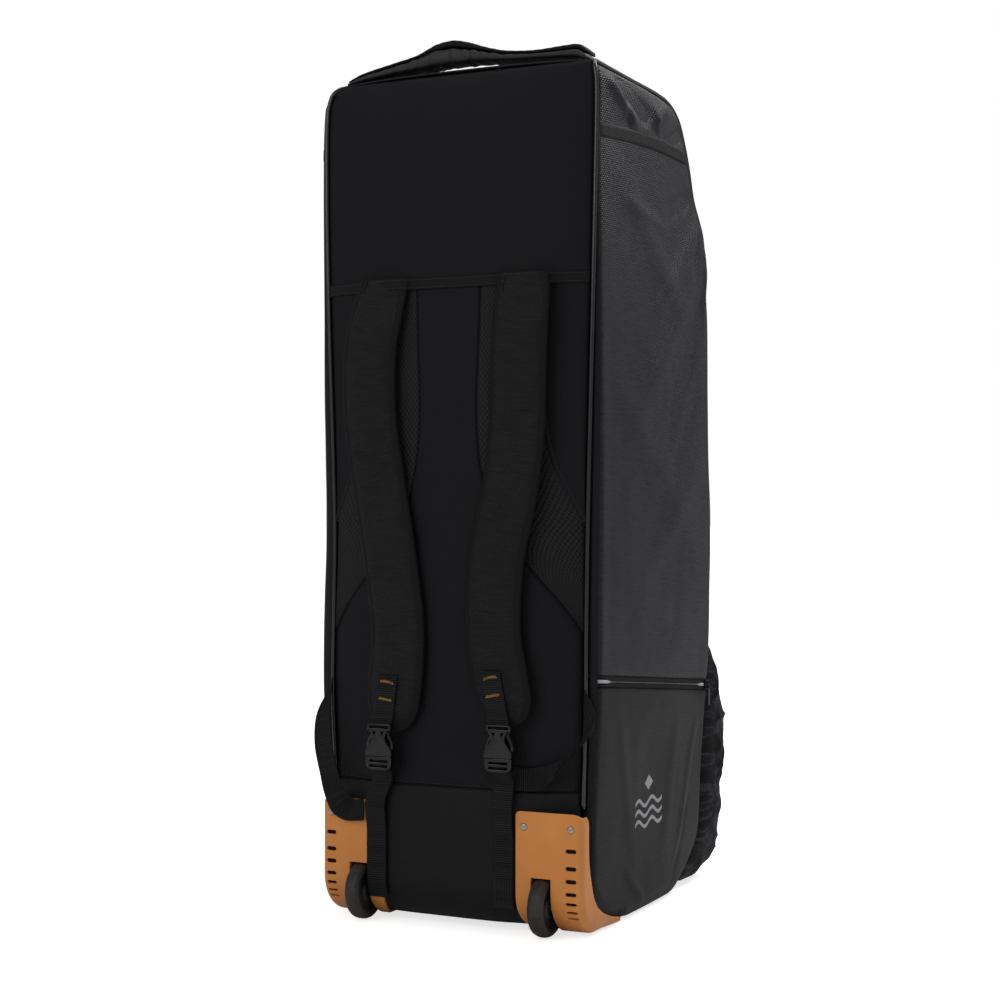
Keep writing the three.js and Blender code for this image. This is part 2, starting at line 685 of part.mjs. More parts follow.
// The body itself, without slivers that a cut may leave
function largest(body) {
    return body.decompose().reduce((best, piece) => (piece.volume() > best.volume() ? piece : best));
}

function cut(geometry, ...tools) {
    return fromManifold(tools.reduce((body, tool) => body.subtract(toManifold(tool)), toManifold(geometry)));
}

function joined(...pieces) {
    return fromManifold(pieces.map(toManifold).reduce((body, piece) => body.add(piece)));
}

// The same geometry on the other side of the bag
function mirrored(geometry) {
    const copy = geometry.clone();
    copy.scale(-1, 1, 1);
    const index = [...copy.index.array];
    for (let i = 0; i < index.length; i += 3) {
        [index[i + 1], index[i + 2]] = [index[i + 2], index[i + 1]];
    }
    copy.setIndex(index);
    return copy;
}

// Inside of the wheel well, and its plastic shell
const WELL_HALF = WHEEL_WIDTH / 2 + RUNNING_GAP;
const WELL_DEPTH = WHEEL_Y + WHEEL_RADIUS + RUNNING_GAP + 0.5;
const WELL_HEIGHT = WHEEL_RADIUS * 2 + RUNNING_GAP;
const SHELL = 2.4;

function addKickAndBase() {
    const edge = (side, z) => panelHalf(side, z);
    const kick = wall((u, v) => {
        const along = (KICK_STRAIGHT + HEEL_ARC) * v;
        const z = kickPoint(0, along).z;
        const left = -edge(-1, z);
        return kickPoint(left + (edge(1, z) - left) * u, along);
    }, 10, [0, 0.3, 0.6, 0.68, 0.76, 0.84, 0.92, 1], WALL);
    const wells = [-1, 1].map((side) => block(
        side * WHEEL_X - WELL_HALF - SHELL - GAP, side * WHEEL_X + WELL_HALF + SHELL + GAP,
        -BODY_DEPTH, WELL_DEPTH + SHELL + GAP, -1, WELL_HEIGHT + SHELL + GAP));
    add('kick_panel', cut(kick, ...wells), 'sideCloth');
    const front = BODY_DEPTH * GIRTH_ROWS[BASE_START_ROW].out;
    const footShare = 0.25;
    const base = wall((u, v) => {
        const heel = (x) => backY(x, HEEL_START) + HEEL_RADIUS + GAP * 2;
        const x = -edge(-1, 0) + (edge(-1, 0) + edge(1, 0)) * u;
        const y = v < footShare
            ? heel(x) + (footEnd() - heel(x)) * (v / footShare)
            : footEnd() + (front - GAP * 2 - footEnd()) * ((v - footShare) / (1 - footShare));
        return new THREE.Vector3(x, y, baseLift(y));
    }, 6, [0, footShare, 0.28, 0.3, 0.32, 0.35, 0.7, 1], WALL);
    add('base_panel', cut(base, ...wells), 'sideCloth');
}

// Outer face of the top and front: across from left to right, along the girth of the body
function girthPoint(across, girth) {
    const point = girthCurve.getPoint(girth);
    const tangent = girthCurve.getTangent(girth);
    const normal = new THREE.Vector3(0, -tangent.z, tangent.y).normalize();
    const left = -panelHalf(-1, point.z);
    const right = panelHalf(1, point.z);
    const crown = FRONT_CROWN * point.x * (1 - Math.abs(2 * across - 1) ** 3);
    const place = new THREE.Vector3(left + (right - left) * across, point.y, Math.max(point.z, 0));
    return place.addScaledVector(normal, crown);
}

function addTopAndFront() {
    const seam = girthOf(TOP_SEAM_ROW);
    const slit = 0.0004;
    const stretch = (from, to, columns, rows) => wall(
        (u, v) => girthPoint(u, from + (to - from) * v), columns, rows, WALL);
    const top = wall((u, v) => {
        const point = girthPoint(u, v * (seam - slit));
        const reach = Math.max(1 - v * 4, 0);
        point.y += reach * (backY(point.x, BODY_HEIGHT - GAP) + WALL + GAP * 2);
        return point;
    }, 8, 10, WALL);
    add('top_panel', top, 'sideCloth');
    add('front_panel', stretch(seam + slit, girthOf(FRONT_END_ROW), 6, 24), 'backCloth');
    const chin = girthOf(FRONT_END_ROW) + slit * 2;
    add('front_foot', stretch(chin, girthOf(BASE_START_ROW) - slit * 2, 6, 3), 'backCloth');
}

// The wide crumpled pocket low on the front, boxy in plan
function pocketPoint(u, down) {
    const row = (column) => between(POCKET_ROWS, 'down', down, column);
    const angle = Math.PI * (1 - u);
    const across = Math.sign(Math.cos(angle)) * Math.abs(Math.cos(angle)) ** POCKET_CORNER;
    const full = Math.sin(angle) ** POCKET_CORNER;
    const seamZ = row('seamUp') * BODY_HEIGHT;
    const seam = new THREE.Vector2(frontY(seamZ) + reveal(frontY, seamZ) - SEAM_REVEAL, seamZ);
    const far = new THREE.Vector2(row('out') * BODY_DEPTH, row('up') * BODY_HEIGHT);
    const place = seam.clone().lerp(far, full);
    const side = across < 0 ? -1 : 1;
    const fold = POCKET_FOLDS.reduce((sum, f) => sum
        + f.deep * Math.sin(2 * Math.PI * (f.across * u + f.down * down / 2) + f.start), 0);
    const calm = full * Math.sin(Math.PI * Math.min(down * 1.02, 1));
    const x = across * (halfWidth(side, seam.y) + POCKET_SIDE_PUFF * Math.sin(Math.PI * down) ** 0.6 * full);
    const y = place.x + SEAM_REVEAL + GAP + fold * calm;
    return new THREE.Vector3(x, y, Math.max(place.y, GAP));
}

function addFrontPocket() {
    add('front_pocket', wall(pocketPoint, 12, 13, WALL), 'sideCloth');
}

// The main opening's zip, laid on the front as an upturned U
function addMainZip() {
    const low = POCKET_ROWS[0].seamUp * BODY_HEIGHT + MAIN_ZIP_ABOVE_POCKET;
    const high = GIRTH_ROWS[TOP_SEAM_ROW + 3].up * BODY_HEIGHT - MAIN_ZIP_BELOW_TOP;
    const path = new THREE.CurvePath();
    const at = (x, z) => new THREE.Vector3(x, 0, z);
    const s = MAIN_ZIP_SPREAD;
    const r = MAIN_ZIP_RADIUS;
    path.add(new THREE.LineCurve3(at(-s, low), at(-s, high - r)));
    path.add(new THREE.QuadraticBezierCurve3(at(-s, high - r), at(-s, high), at(r - s, high)));
    path.add(new THREE.LineCurve3(at(r - s, high), at(s - r, high)));
    path.add(new THREE.QuadraticBezierCurve3(at(s - r, high), at(s, high), at(s, high - r)));
    path.add(new THREE.LineCurve3(at(s, high - r), at(s, low)));
    const faceY = (x, z) => {
        const across = (x + panelHalf(-1, z)) / (panelHalf(-1, z) + panelHalf(1, z));
        const bulge = FRONT_CROWN * (1 - Math.abs(2 * across - 1) ** 3);
        return frontY(z) + bulge;
    };
    const rings = stops(30).map((t) => {
        const place = path.getPointAt(t);
        const along = path.getTangentAt(t);
        const out = new THREE.Vector3(-along.z, 0, along.x).multiplyScalar(MAIN_ZIP_WIDTH / 2);
        const ring = [];
        for (const [edge, lift] of [[-1, 0], [1, 0], [1, 1], [-1, 1]]) {
            const point = place.clone().addScaledVector(out, edge);
            point.y = faceY(point.x, point.z) + GAP * 3 + lift * TAPE_THICKNESS;
            ring.push(point);
        }
        return ring;
    });
    add('main_zip', loft(rings), 'zip');
}

function addZipSlider() {
    const across = 0.955;
    const seat = sidePoint(1, across, zipZ(across));
    const x = seat.x + GAP;
    const slider = new THREE.CylinderGeometry(
        SLIDER_WIDTH / 2, SLIDER_WIDTH / 2 * 0.8, SLIDER_LENGTH, 8);
    slider.scale(SLIDER_THICKNESS / SLIDER_WIDTH, 1, 1);
    slider.translate(x + SLIDER_THICKNESS / 2 + 0.4, seat.y, seat.z);
    add('zip_slider', slider, 'steel');
    const pullX = x + SLIDER_THICKNESS + 0.4 + GAP;
    const pull = block(pullX, pullX + 1.6, seat.y - PULL_WIDTH / 2, seat.y + PULL_WIDTH / 2,
        seat.z - PULL_LENGTH, seat.z + 1);
    add('zip_pull', pull, 'steel');
}

// Round piping along a row of points, with its first cross direction along X
function pipe(points, radius, sides) {
    const curve = new THREE.CatmullRomCurve3(points);
    const rings = points.map((point, k) => {
        const along = curve.getTangent(k / (points.length - 1));
        const first = new THREE.Vector3(1, 0, 0).addScaledVector(along, -along.x).normalize();
        const second = new THREE.Vector3().crossVectors(along, first);
        return Array.from({ length: sides }, (_, i) => {
            const angle = (2 * Math.PI * i) / sides;
            return point.clone()
                .addScaledVector(first, radius * Math.cos(angle))
                .addScaledVector(second, radius * Math.sin(angle));
        });
    });
    return loft(rings);
}

function addPiping() {
    const corner = SHOULDER_RADIUS;
    for (const [name, side] of [['left', -1], ['right', 1]]) {
        const at = (y, z) => new THREE.Vector3(side * halfWidth(side, z), y, z);
        const low = GUARD_TOP + 3;
        const points = [0, 0.15, 0.3, 0.45, 0.6, 0.72, 0.84, 0.92, 0.964, 0.986, 1].map(
            (t) => at(0, low + (BODY_HEIGHT - corner - low) * t));
        for (const turn of [0.25, 0.5, 0.75]) {
            const angle = turn * Math.PI / 2;
            const y = corner * (1 - Math.cos(angle));
            points.push(at(y, BODY_HEIGHT - corner + corner * Math.sin(angle)));
        }
        const first = girthSamples.findIndex((point) => point.y >= corner);
        const last = Math.floor(girthOf(BASE_START_ROW) * 600) - 6;
        const turns = 34;
        for (let k = 0; k <= turns; k += 1) {
            const sample = girthSamples[Math.round(first + (last - first) * (k / turns))];
            points.push(at(sample.y, sample.z));
        }
        add(`piping_${name}`, pipe(points, PIPING_DIAMETER / 2, 5), 'webbing');
    }
}

function addHandle() {
    const places = stops(15).map((t) => {
        const first = HANDLE_ROWS[0].x;
        return first + (HANDLE_ROWS[HANDLE_ROWS.length - 1].x - first) * t;
    });
    const slab = (lowColumn, highColumn, inset, lift, depth) => loft(places.map((x) => {
        const low = BODY_HEIGHT + between(HANDLE_ROWS, 'x', x, lowColumn) + lift;
        const high = BODY_HEIGHT + between(HANDLE_ROWS, 'x', x, highColumn);
        const point = (y, z) => new THREE.Vector3(x * BODY_WIDTH / 2, HANDLE_Y + y * depth / 2, z);
        const bevel = Math.min(inset, (high - low) / 3);
        const share = 1 - (2 * inset) / depth;
        return [
            point(-1, low + bevel), point(-share, low), point(share, low), point(1, low + bevel),
            point(1, high - bevel), point(share, high), point(-share, high), point(-1, high - bevel),
        ];
    }));
    add('top_handle', slab('low', 'mid', 5, 0, HANDLE_DEPTH), 'strap');
    add('handle_wrap', slab('mid', 'high', 3, GAP, HANDLE_DEPTH - 6), 'webbing');
}

// A shoulder pad: stations down its middle line, each with its cross direction
function padStations(rows) {
    const places = rows.map((row) => new THREE.Vector3(
        row.x * BODY_WIDTH / 2, row.wide, row.up * BODY_HEIGHT));
    const curve = new THREE.CatmullRomCurve3(places, false, 'centripetal');
    return stops(rows.length + 2).map((t) => {
        const place = curve.getPoint(t);
        const along = curve.getTangent(t);
        const across = new THREE.Vector3(along.z, 0, -along.x).normalize();
        const span = (BAND_Z - place.z) / (BAND_Z - rows[0].up * BODY_HEIGHT);
        const thick = Math.min(1, 0.45 + span * 6) * Math.min(1, 0.6 + (1 - span) * 9);
        return { place, across, half: place.y * PAD_WIDTH / 2, thick };
    });
}

function padY(station) {
    return backY(0, station.place.z) - PAD_CLEARANCE + (1 - station.thick) * PAD_THICKNESS * 0.35;
}

function addPads() {
    for (const [name, rows] of Object.entries(STRAP_ROWS)) {
        const stations = padStations(rows);
        add(`strap_pad_${name}`, loft(stations.map((station) => {
            const full = PAD_THICKNESS * station.thick / 2;
            const edge = PAD_EDGE / 2;
            const bevel = Math.min(PAD_BEVEL, station.half / 2);
            const point = (s, d) => new THREE.Vector3(station.place.x, 0, station.place.z)
                .addScaledVector(station.across, s)
                .add(new THREE.Vector3(0, padY(station) + d, 0));
            const wide = station.half;
            return [
                point(-wide, -edge), point(bevel - wide, -full), point(wide - bevel, -full),
                point(wide, -edge), point(wide, edge), point(wide - bevel, full),
                point(bevel - wide, full), point(-wide, edge),
            ];
        })), 'strap');
        addBinding(name, stations);
    }
}

// The tape folded over a pad's edge: down one side, round the tip and up the other
function addBinding(name, stations) {
    const rim = (side) => stations.map((station) => {
        const at = new THREE.Vector3(station.place.x, padY(station), station.place.z);
        return at.addScaledVector(station.across, side * station.half);
    });
    const edge = [...rim(-1).reverse().slice(1), ...rim(1).slice(0, -1)];
    const rings = edge.map((point, k) => {
        const along = edge[Math.min(k + 1, edge.length - 1)].clone().sub(edge[Math.max(k - 1, 0)]);
        const out = new THREE.Vector3(along.z, 0, -along.x).normalize();
        const inner = GAP * 2.5;
        const lift = PAD_EDGE / 2 + 1;
        return [[inner, -lift], [inner + BINDING, -lift], [inner + BINDING, lift], [inner, lift]].map(
            ([s, d]) => point.clone().addScaledVector(out, s).add(new THREE.Vector3(0, d, 0)));
    });
    add(`strap_binding_${name}`, loft(rings), 'webbing');
}

// Flat webbing whose two edges pass through the given rows of points
function ribbon(firstEdge, secondEdge, thickness, steps) {
    const first = new THREE.CatmullRomCurve3(firstEdge, false, 'centripetal');
    const second = new THREE.CatmullRomCurve3(secondEdge, false, 'centripetal');
    const rings = stops(steps).map((t) => {
        const a = first.getPoint(t);
        const b = second.getPoint(t);
        const along = first.getTangent(t).add(second.getTangent(t));
        const face = new THREE.Vector3().crossVectors(along, b.clone().sub(a)).normalize();
        face.multiplyScalar(thickness / 2);
        return [
            a.clone().add(face), b.clone().add(face), b.clone().sub(face), a.clone().sub(face),
        ];
    });
    return loft(rings);
}

// Straight-edged webbing down the back through middle points of x, y and z
function strapWebbing(middle, steps) {
    const edge = (side) => middle.map(
        ([x, y, z]) => new THREE.Vector3(x + side * WEBBING_WIDTH / 2, y, z));
    return ribbon(edge(-1), edge(1), WEBBING_THICKNESS, steps);
}

const BUCKLE_Y = -(BACK_CROWN + PAD_CLEARANCE + PAD_THICKNESS * 0.85);

function addBuckles() {
    const half = BUCKLE_WIDTH / 2;
    const deep = BUCKLE_THICKNESS / 2;
    const inner = half - BUCKLE_WALL - 0.7;
    const innerDeep = deep - BUCKLE_WALL;
    for (const [name, row] of Object.entries(WEBBING_ROWS)) {
        const x = row.joinX * BODY_WIDTH / 2;
        const z = row.fastened * BODY_HEIGHT;
        const centre = (y0, y1) => [BUCKLE_Y + y0, BUCKLE_Y + y1];
        const box = (x0, x1, y0, y1, z0, z1) => block(x + x0, x + x1, ...centre(y0, y1), z + z0, z + z1);
        const outline = new THREE.Shape();
        outline.moveTo(-half * 0.86, 0);
        outline.lineTo(half * 0.86, 0);
        outline.lineTo(half, SOCKET_LENGTH * 0.3);
        outline.lineTo(half, SOCKET_LENGTH * 0.75);
        outline.quadraticCurveTo(half, SOCKET_LENGTH, half * 0.7, SOCKET_LENGTH);
        outline.lineTo(-half * 0.7, SOCKET_LENGTH);
        outline.quadraticCurveTo(-half, SOCKET_LENGTH, -half, SOCKET_LENGTH * 0.75);
        outline.lineTo(-half, SOCKET_LENGTH * 0.3);
        const shell = new THREE.ExtrudeGeometry(outline, {
            depth: BUCKLE_THICKNESS - 2, bevelSize: 1, bevelThickness: 1, bevelOffset: -1,
            bevelSegments: 1, curveSegments: 4,
        });
        shell.rotateX(Math.PI / 2);
        shell.translate(x, BUCKLE_Y + BUCKLE_THICKNESS / 2 - 1, z);
        const cavity = box(-inner, inner, -innerDeep, innerDeep, -1, PRONG_LENGTH + 2);
        const windows = box(-half - 1, half + 1, 0.7 - innerDeep, innerDeep - 0.7, 5, 14);
        const slot = box(-WEBBING_WIDTH / 2 - 0.5, WEBBING_WIDTH / 2 + 0.5, -deep - 1, deep + 1,
            SOCKET_LENGTH - 5.5, SOCKET_LENGTH - 2.5);
        add(`buckle_socket_${name}`, cut(shell, cavity, windows, slot), 'buckle');

        const base = box(-half * 0.9, half * 0.9, -deep * 0.9, deep * 0.9, -PLUG_LENGTH, -GAP);
        const guide = box(-2.5, 2.5, 0.5 - innerDeep, innerDeep - 0.5, -GAP - 1, PRONG_LENGTH * 0.8);
        const prongs = [-1, 1].map((side) => box(
            Math.min(side * 7.5, side * (inner - 0.6)), Math.max(side * 7.5, side * (inner - 0.6)),
            0.5 - innerDeep, innerDeep - 0.5, -GAP - 1, PRONG_LENGTH));
        const bars = box(-WEBBING_WIDTH / 2 - 0.5, WEBBING_WIDTH / 2 + 0.5, -deep - 1, deep + 1,
            -PLUG_LENGTH + 2.5, -PLUG_LENGTH + 5.5);
        const waist = [-1, 1].map((side) => box(
            Math.min(side * half * 0.74, side * half), Math.max(side * half * 0.74, side * half),
            -deep - 1, deep + 1, -PLUG_LENGTH * 0.62, -PLUG_LENGTH * 0.36));
        add(`buckle_plug_${name}`, cut(joined(base, guide, ...prongs), bars, ...waist), 'buckle');
    }
}

function addWebbing() {
    for (const [name, row] of Object.entries(WEBBING_ROWS)) {
        const half = BODY_WIDTH / 2;
        const joinX = row.joinX * half;
        const joinZ = row.fastened * BODY_HEIGHT;
        const padFace = -(BACK_CROWN + PAD_CLEARANCE + PAD_THICKNESS / 2 + GAP * 2 + WEBBING_THICKNESS / 2);
        const tabTop = row.tabUp * BODY_HEIGHT;
        const socketTop = joinZ + SOCKET_LENGTH + GAP;
        add(`strap_tab_${name}`, strapWebbing([
            [row.tabX * half, padFace, tabTop],
            [row.tabX * half * 0.7 + joinX * 0.3, padFace, tabTop - (tabTop - socketTop) * 0.35],
            [row.tabX * half * 0.35 + joinX * 0.65, padFace - 0.3, socketTop + (tabTop - socketTop) * 0.25],
            [joinX, BUCKLE_Y, socketTop],
        ], 5), 'webbing');

        const plugLow = joinZ - PLUG_LENGTH - GAP * 4;
        const lowX = joinX < 0
            ? WEBBING_TO_WHEEL + (WEBBING_WIDTH + WHEEL_WIDTH) / 2 - WHEEL_X
            : GUARD_INNER_X - WEBBING_TO_GUARD - WEBBING_WIDTH / 2;
        const lowZ = row.lowUp * BODY_HEIGHT;
        const carrier = (z) => (lowX < 0 ? guardFaceAt(z) : backFace(lowX - WEBBING_WIDTH / 2, z));
        const rest = (z) => carrier(z) - GAP * 2 - WEBBING_THICKNESS / 2;
        const rivetTop = GUARD_TOP - RIVET_DROP + RIVET_RADIUS;
        const overRivet = guardFaceY() - RIVET_HEIGHT - GAP * 3 - WEBBING_THICKNESS / 2;
        const middle = [
            [joinX, BUCKLE_Y, plugLow],
            [joinX * 0.8 + lowX * 0.2, -(BACK_CROWN + PAD_CLEARANCE), plugLow - (plugLow - GUARD_TOP) * 0.35],
            [lowX, Math.min(rest(GUARD_TOP), overRivet) - 1, GUARD_TOP],
            [lowX, Math.min(rest(rivetTop), overRivet), rivetTop - RIVET_RADIUS],
        ];
        const start = rivetTop - RIVET_RADIUS * 5;
        for (const t of stops(5)) {
            const z = start + (lowZ - start) * t;
            middle.push([lowX, rest(z), z]);
        }
        add(`lower_webbing_${name}`, strapWebbing(middle, 12), 'webbing');
    }
    for (const [name, rows] of Object.entries(LOOP_ROWS)) {
        const half = BODY_WIDTH / 2;
        const first = rows.map((row) => new THREE.Vector3(row.x * half, -row.off, row.up * BODY_HEIGHT));
        const second = rows.map((row) => new THREE.Vector3(row.x2 * half, -row.off2, row.up2 * BODY_HEIGHT));
        add(`side_loop_${name}`, ribbon(first, second, WEBBING_THICKNESS, rows.length + 5), 'webbing');
    }
}

// Outer face of the back plate of a corner guard
function guardFaceY() {
    return backY(GUARD_INNER_X, HEEL_START) - GAP - GUARD_THICKNESS;
}

// The same face at any height, round the heel too
function guardFaceAt(z) {
    const drop = Math.min(Math.max(HEEL_START - z, 0), GUARD_RADIUS);
    return guardFaceY() + GUARD_RADIUS - Math.sqrt(GUARD_RADIUS ** 2 - drop ** 2);
}

const GUARD_RADIUS = HEEL_RADIUS + GAP + GUARD_THICKNESS;
const GUARD_STRAIGHT = GUARD_TOP - HEEL_START;
const GUARD_ARC = GUARD_RADIUS * Math.PI / 2;

// Place on the guard's outer path down the back and under the heel, and its inward direction
function guardPath(along) {
    const turn = Math.min(Math.max(along - GUARD_STRAIGHT, 0), GUARD_ARC) / GUARD_RADIUS;
    const foot = Math.max(along - GUARD_STRAIGHT - GUARD_ARC, 0);
    const y = guardFaceY() + GUARD_RADIUS * (1 - Math.cos(turn)) + foot;
    const z = GUARD_TOP - Math.min(along, GUARD_STRAIGHT) - GUARD_RADIUS * Math.sin(turn);
    return {
        turn,
        place: new THREE.Vector3(0, y, z),
        inward: new THREE.Vector3(0, Math.cos(turn), Math.sin(turn)),
    };
}

// A moulded guard for the right wheel: back plate, side flange, foot, wheel well and vent slots
function guardGeometry() {
    const length = GUARD_STRAIGHT + GUARD_ARC + FOOT_LENGTH;
    const alongStops = [0, 0.2];
    for (const t of stops(6)) alongStops.push((GUARD_STRAIGHT + GUARD_ARC * t) / length);
    alongStops.push(1);
    const skin = wall((u, v) => {
        const { place, inward, turn } = guardPath(v * length);
        const flange = FOOT_FLANGE + (GUARD_FLANGE - FOOT_FLANGE) * Math.max(Math.cos(turn), 0) ** 1.7;
        const round = Math.max(Math.min(GUARD_ROUND, flange * 0.6), GUARD_THICKNESS * 1.3);
        const depth = Math.max(flange - round, 0.6);
        let x = GUARD_INNER_X + (GUARD_OUTER_X - round - GUARD_INNER_X) * Math.min(u / 0.6, 1);
        let d = 0;
        if (u > 0.6) {
            const angle = Math.min((u - 0.6) / 0.25, 1) * Math.PI / 2;
            x = GUARD_OUTER_X - round + round * Math.sin(angle);
            d = round * (1 - Math.cos(angle));
        }
        if (u > 0.85) d = round + depth * (u - 0.85) / 0.15;
        return place.addScaledVector(inward, d).setX(x);
    }, [0, 0.6, 0.685, 0.765, 0.85, 1], alongStops, GUARD_THICKNESS,
    new THREE.Vector3(GUARD_INNER_X, HEEL_RADIUS, HEEL_START));

    const wellOuter = block(
        WHEEL_X - WELL_HALF - SHELL, WHEEL_X + WELL_HALF + SHELL,
        guardFaceY() + 1, WELL_DEPTH + SHELL, HEEL_LIFT, WELL_HEIGHT + SHELL);
    const wellInner = block(
        WHEEL_X - WELL_HALF, WHEEL_X + WELL_HALF,
        guardFaceY() - 1, WELL_DEPTH, -1, WELL_HEIGHT);
    const notch = block(
        WHEEL_X - WELL_HALF, WHEEL_X + WELL_HALF, guardFaceY() - 10, WELL_DEPTH, -1, NOTCH_TOP);
    const heelCut = new THREE.ExtrudeGeometry(heelWaste(), {
        depth: WHEEL_WIDTH * 3, bevelEnabled: false,
    });
    heelCut.rotateY(Math.PI / 2);
    heelCut.rotateX(Math.PI / 2);
    heelCut.translate(WHEEL_X - WHEEL_WIDTH * 1.5, 0, 0);
    const well = toManifold(wellOuter).subtract(toManifold(wellInner)).subtract(toManifold(heelCut));
    let body = toManifold(skin).add(well).subtract(toManifold(notch));
    for (const tool of guardCutters()) body = body.subtract(toManifold(tool));
    return fromManifold(largest(body));
}

// What the wheel well has to lose outside the rounded heel, in the plane across the wheel
function heelWaste() {
    const shape = new THREE.Shape();
    const face = guardFaceY() + 1;
    const points = stops(10).map((t) => {
        const angle = t * Math.PI / 2;
        const r = GUARD_RADIUS - 1;
        return [face + r * (1 - Math.cos(angle)), HEEL_START - r * Math.sin(angle)];
    });
    shape.moveTo(face - 20, HEEL_START);
    for (const [y, z] of points) shape.lineTo(y, z);
    shape.lineTo(points[points.length - 1][0], -20);
    shape.lineTo(face - 20, -20);
    return shape;
}

// Cutters for the rounded corners, the slots and the axle's bores
function guardCutters() {
    const cutters = [];
    const outline = new THREE.Shape();
    const far = 40;
    outline.moveTo(GUARD_INNER_X - far, -far);
    outline.lineTo(GUARD_OUTER_X + far, -far);
    outline.lineTo(GUARD_OUTER_X + far, GUARD_TOP + far);
    outline.lineTo(GUARD_INNER_X - far, GUARD_TOP + far);
    const keep = new THREE.Path();
    const top = GUARD_TOP_ROUND;
    const low = GUARD_LOW_ROUND;
    keep.moveTo(GUARD_INNER_X, GUARD_TOP - 5);
    keep.lineTo(GUARD_INNER_X, HEEL_LIFT + low);
    keep.quadraticCurveTo(GUARD_INNER_X, HEEL_LIFT, GUARD_INNER_X + low * 0.55, 0);
    keep.lineTo(GUARD_INNER_X + low * 0.55, -far / 2);
    keep.lineTo(GUARD_OUTER_X + far / 2, -far / 2);
    keep.lineTo(GUARD_OUTER_X + far / 2, GUARD_TOP - top);
    keep.lineTo(GUARD_OUTER_X, GUARD_TOP - top);
    keep.absarc(GUARD_OUTER_X - top, GUARD_TOP - top, top, 0, Math.PI / 2, false);
    keep.lineTo(GUARD_INNER_X + 5, GUARD_TOP);
    keep.absarc(GUARD_INNER_X + 5, GUARD_TOP - 5, 5, Math.PI / 2, Math.PI, false);
    outline.holes.push(keep);
    const footTip = GUARD_RADIUS + FOOT_LENGTH;
    const frame = new THREE.ExtrudeGeometry(outline, {
        depth: footTip + far * 2, bevelEnabled: false, curveSegments: 5,
    });
    frame.rotateX(Math.PI / 2);
    frame.translate(0, footTip, 0);
    cutters.push(frame);
    for (const { along, high } of SLOT_ROWS) {
        const { place, inward } = guardPath(along);
        const h = (SLOT_HEIGHT * high) / 2;
        const w = SLOT_WIDTH / 2 - h;
        const slot = new THREE.Shape();
        slot.absarc(w, 0, h, -Math.PI / 2, Math.PI / 2, false);
        slot.absarc(-w, 0, h, Math.PI / 2, (3 * Math.PI) / 2, false);
        const tool = new THREE.ExtrudeGeometry(slot, { depth: 12, bevelEnabled: false, curveSegments: 1 });
        tool.translate(0, 0, -6);
        tool.applyQuaternion(new THREE.Quaternion().setFromUnitVectors(new THREE.Vector3(0, 0, 1), inward));
        tool.translate(SLOT_X, place.y, place.z);
        cutters.push(tool);
    }
    const bore = new THREE.CylinderGeometry(AXLE_RADIUS + GAP, AXLE_RADIUS + GAP, WHEEL_WIDTH * 3, 12);
    bore.rotateZ(Math.PI / 2);
    bore.translate(WHEEL_X, WHEEL_Y, WHEEL_RADIUS);
    const inner = toManifold(bore).intersect(toManifold(block(
        GUARD_INNER_X, WHEEL_X + WELL_HALF + SHELL + 1,
        WHEEL_Y - WHEEL_RADIUS, WHEEL_Y + WHEEL_RADIUS, 0, WHEEL_RADIUS * 2)));
    cutters.push(fromManifold(inner));
    return cutters;
}

function addWheels() {
    const guard = guardGeometry();
    add('corner_guard_right', guard, 'guard');
    add('corner_guard_left', mirrored(guard), 'guard');
    const bore = AXLE_RADIUS + GAP;
    const wide = WHEEL_WIDTH / 2;
    const rim = WHEEL_ROWS.map((row) => [row.far * WHEEL_RADIUS, row.wide * wide]);
    const section = [[bore, rim[0][1]], ...rim, ...rim.map(([r, w]) => [r, -w]).reverse(), [bore, -rim[0][1]]];
    const profile = [...section, section[0]].reverse().map(([r, w]) => new THREE.Vector2(r, w));
    for (const [name, side] of [['left', -1], ['right', 1]]) {
        const wheel = new THREE.LatheGeometry(profile, 16);
        wheel.rotateZ(Math.PI / 2);
        wheel.translate(side * WHEEL_X, WHEEL_Y, WHEEL_RADIUS);
        add(`wheel_${name}`, wheel, 'rubber');
        const axle = new THREE.CylinderGeometry(
            AXLE_RADIUS, AXLE_RADIUS, (WELL_HALF + SHELL) * 2, 12);
        axle.rotateZ(Math.PI / 2);
        axle.translate(side * WHEEL_X, WHEEL_Y, WHEEL_RADIUS);
        add(`axle_${name}`, axle, 'steel');
        const inset = [['inner', GUARD_INNER_X + RIVET_INSET_IN], ['outer', GUARD_OUTER_X - RIVET_INSET_OUT]];
        for (const [place, x] of inset) {
            const dome = [[0, RIVET_HEIGHT], [0.5, RIVET_HEIGHT * 0.9], [0.85, RIVET_HEIGHT * 0.55], [1, 0], [0, 0]]
                .map(([r, h]) => new THREE.Vector2(r * RIVET_RADIUS, h));
            const rivet = new THREE.LatheGeometry(dome.reverse(), 8);
            rivet.rotateX(Math.PI);
            rivet.translate(side * x, guardFaceY() - GAP, GUARD_TOP - RIVET_DROP);
            add(`guard_rivet_${name}_${place}`, rivet, 'steel');
        }
    }
}

addBackPanels();
addSides();
addKickAndBase();
addTopAndFront();
addFrontPocket();
addMainZip();
addZipSlider();
addPiping();
addHandle();
addPads();
addBuckles();
addWebbing();
addWheels();

// The origin lies under the middle of the bag, on the floor
const box = new THREE.Box3().setFromObject(bag);
const middle = box.getCenter(new THREE.Vector3());
bag.position.set(-middle.x, -middle.y, -box.min.z);

export default bag;
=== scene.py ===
import bisect
import math

import bmesh
import bpy
from mathutils import Matrix, Vector, noise


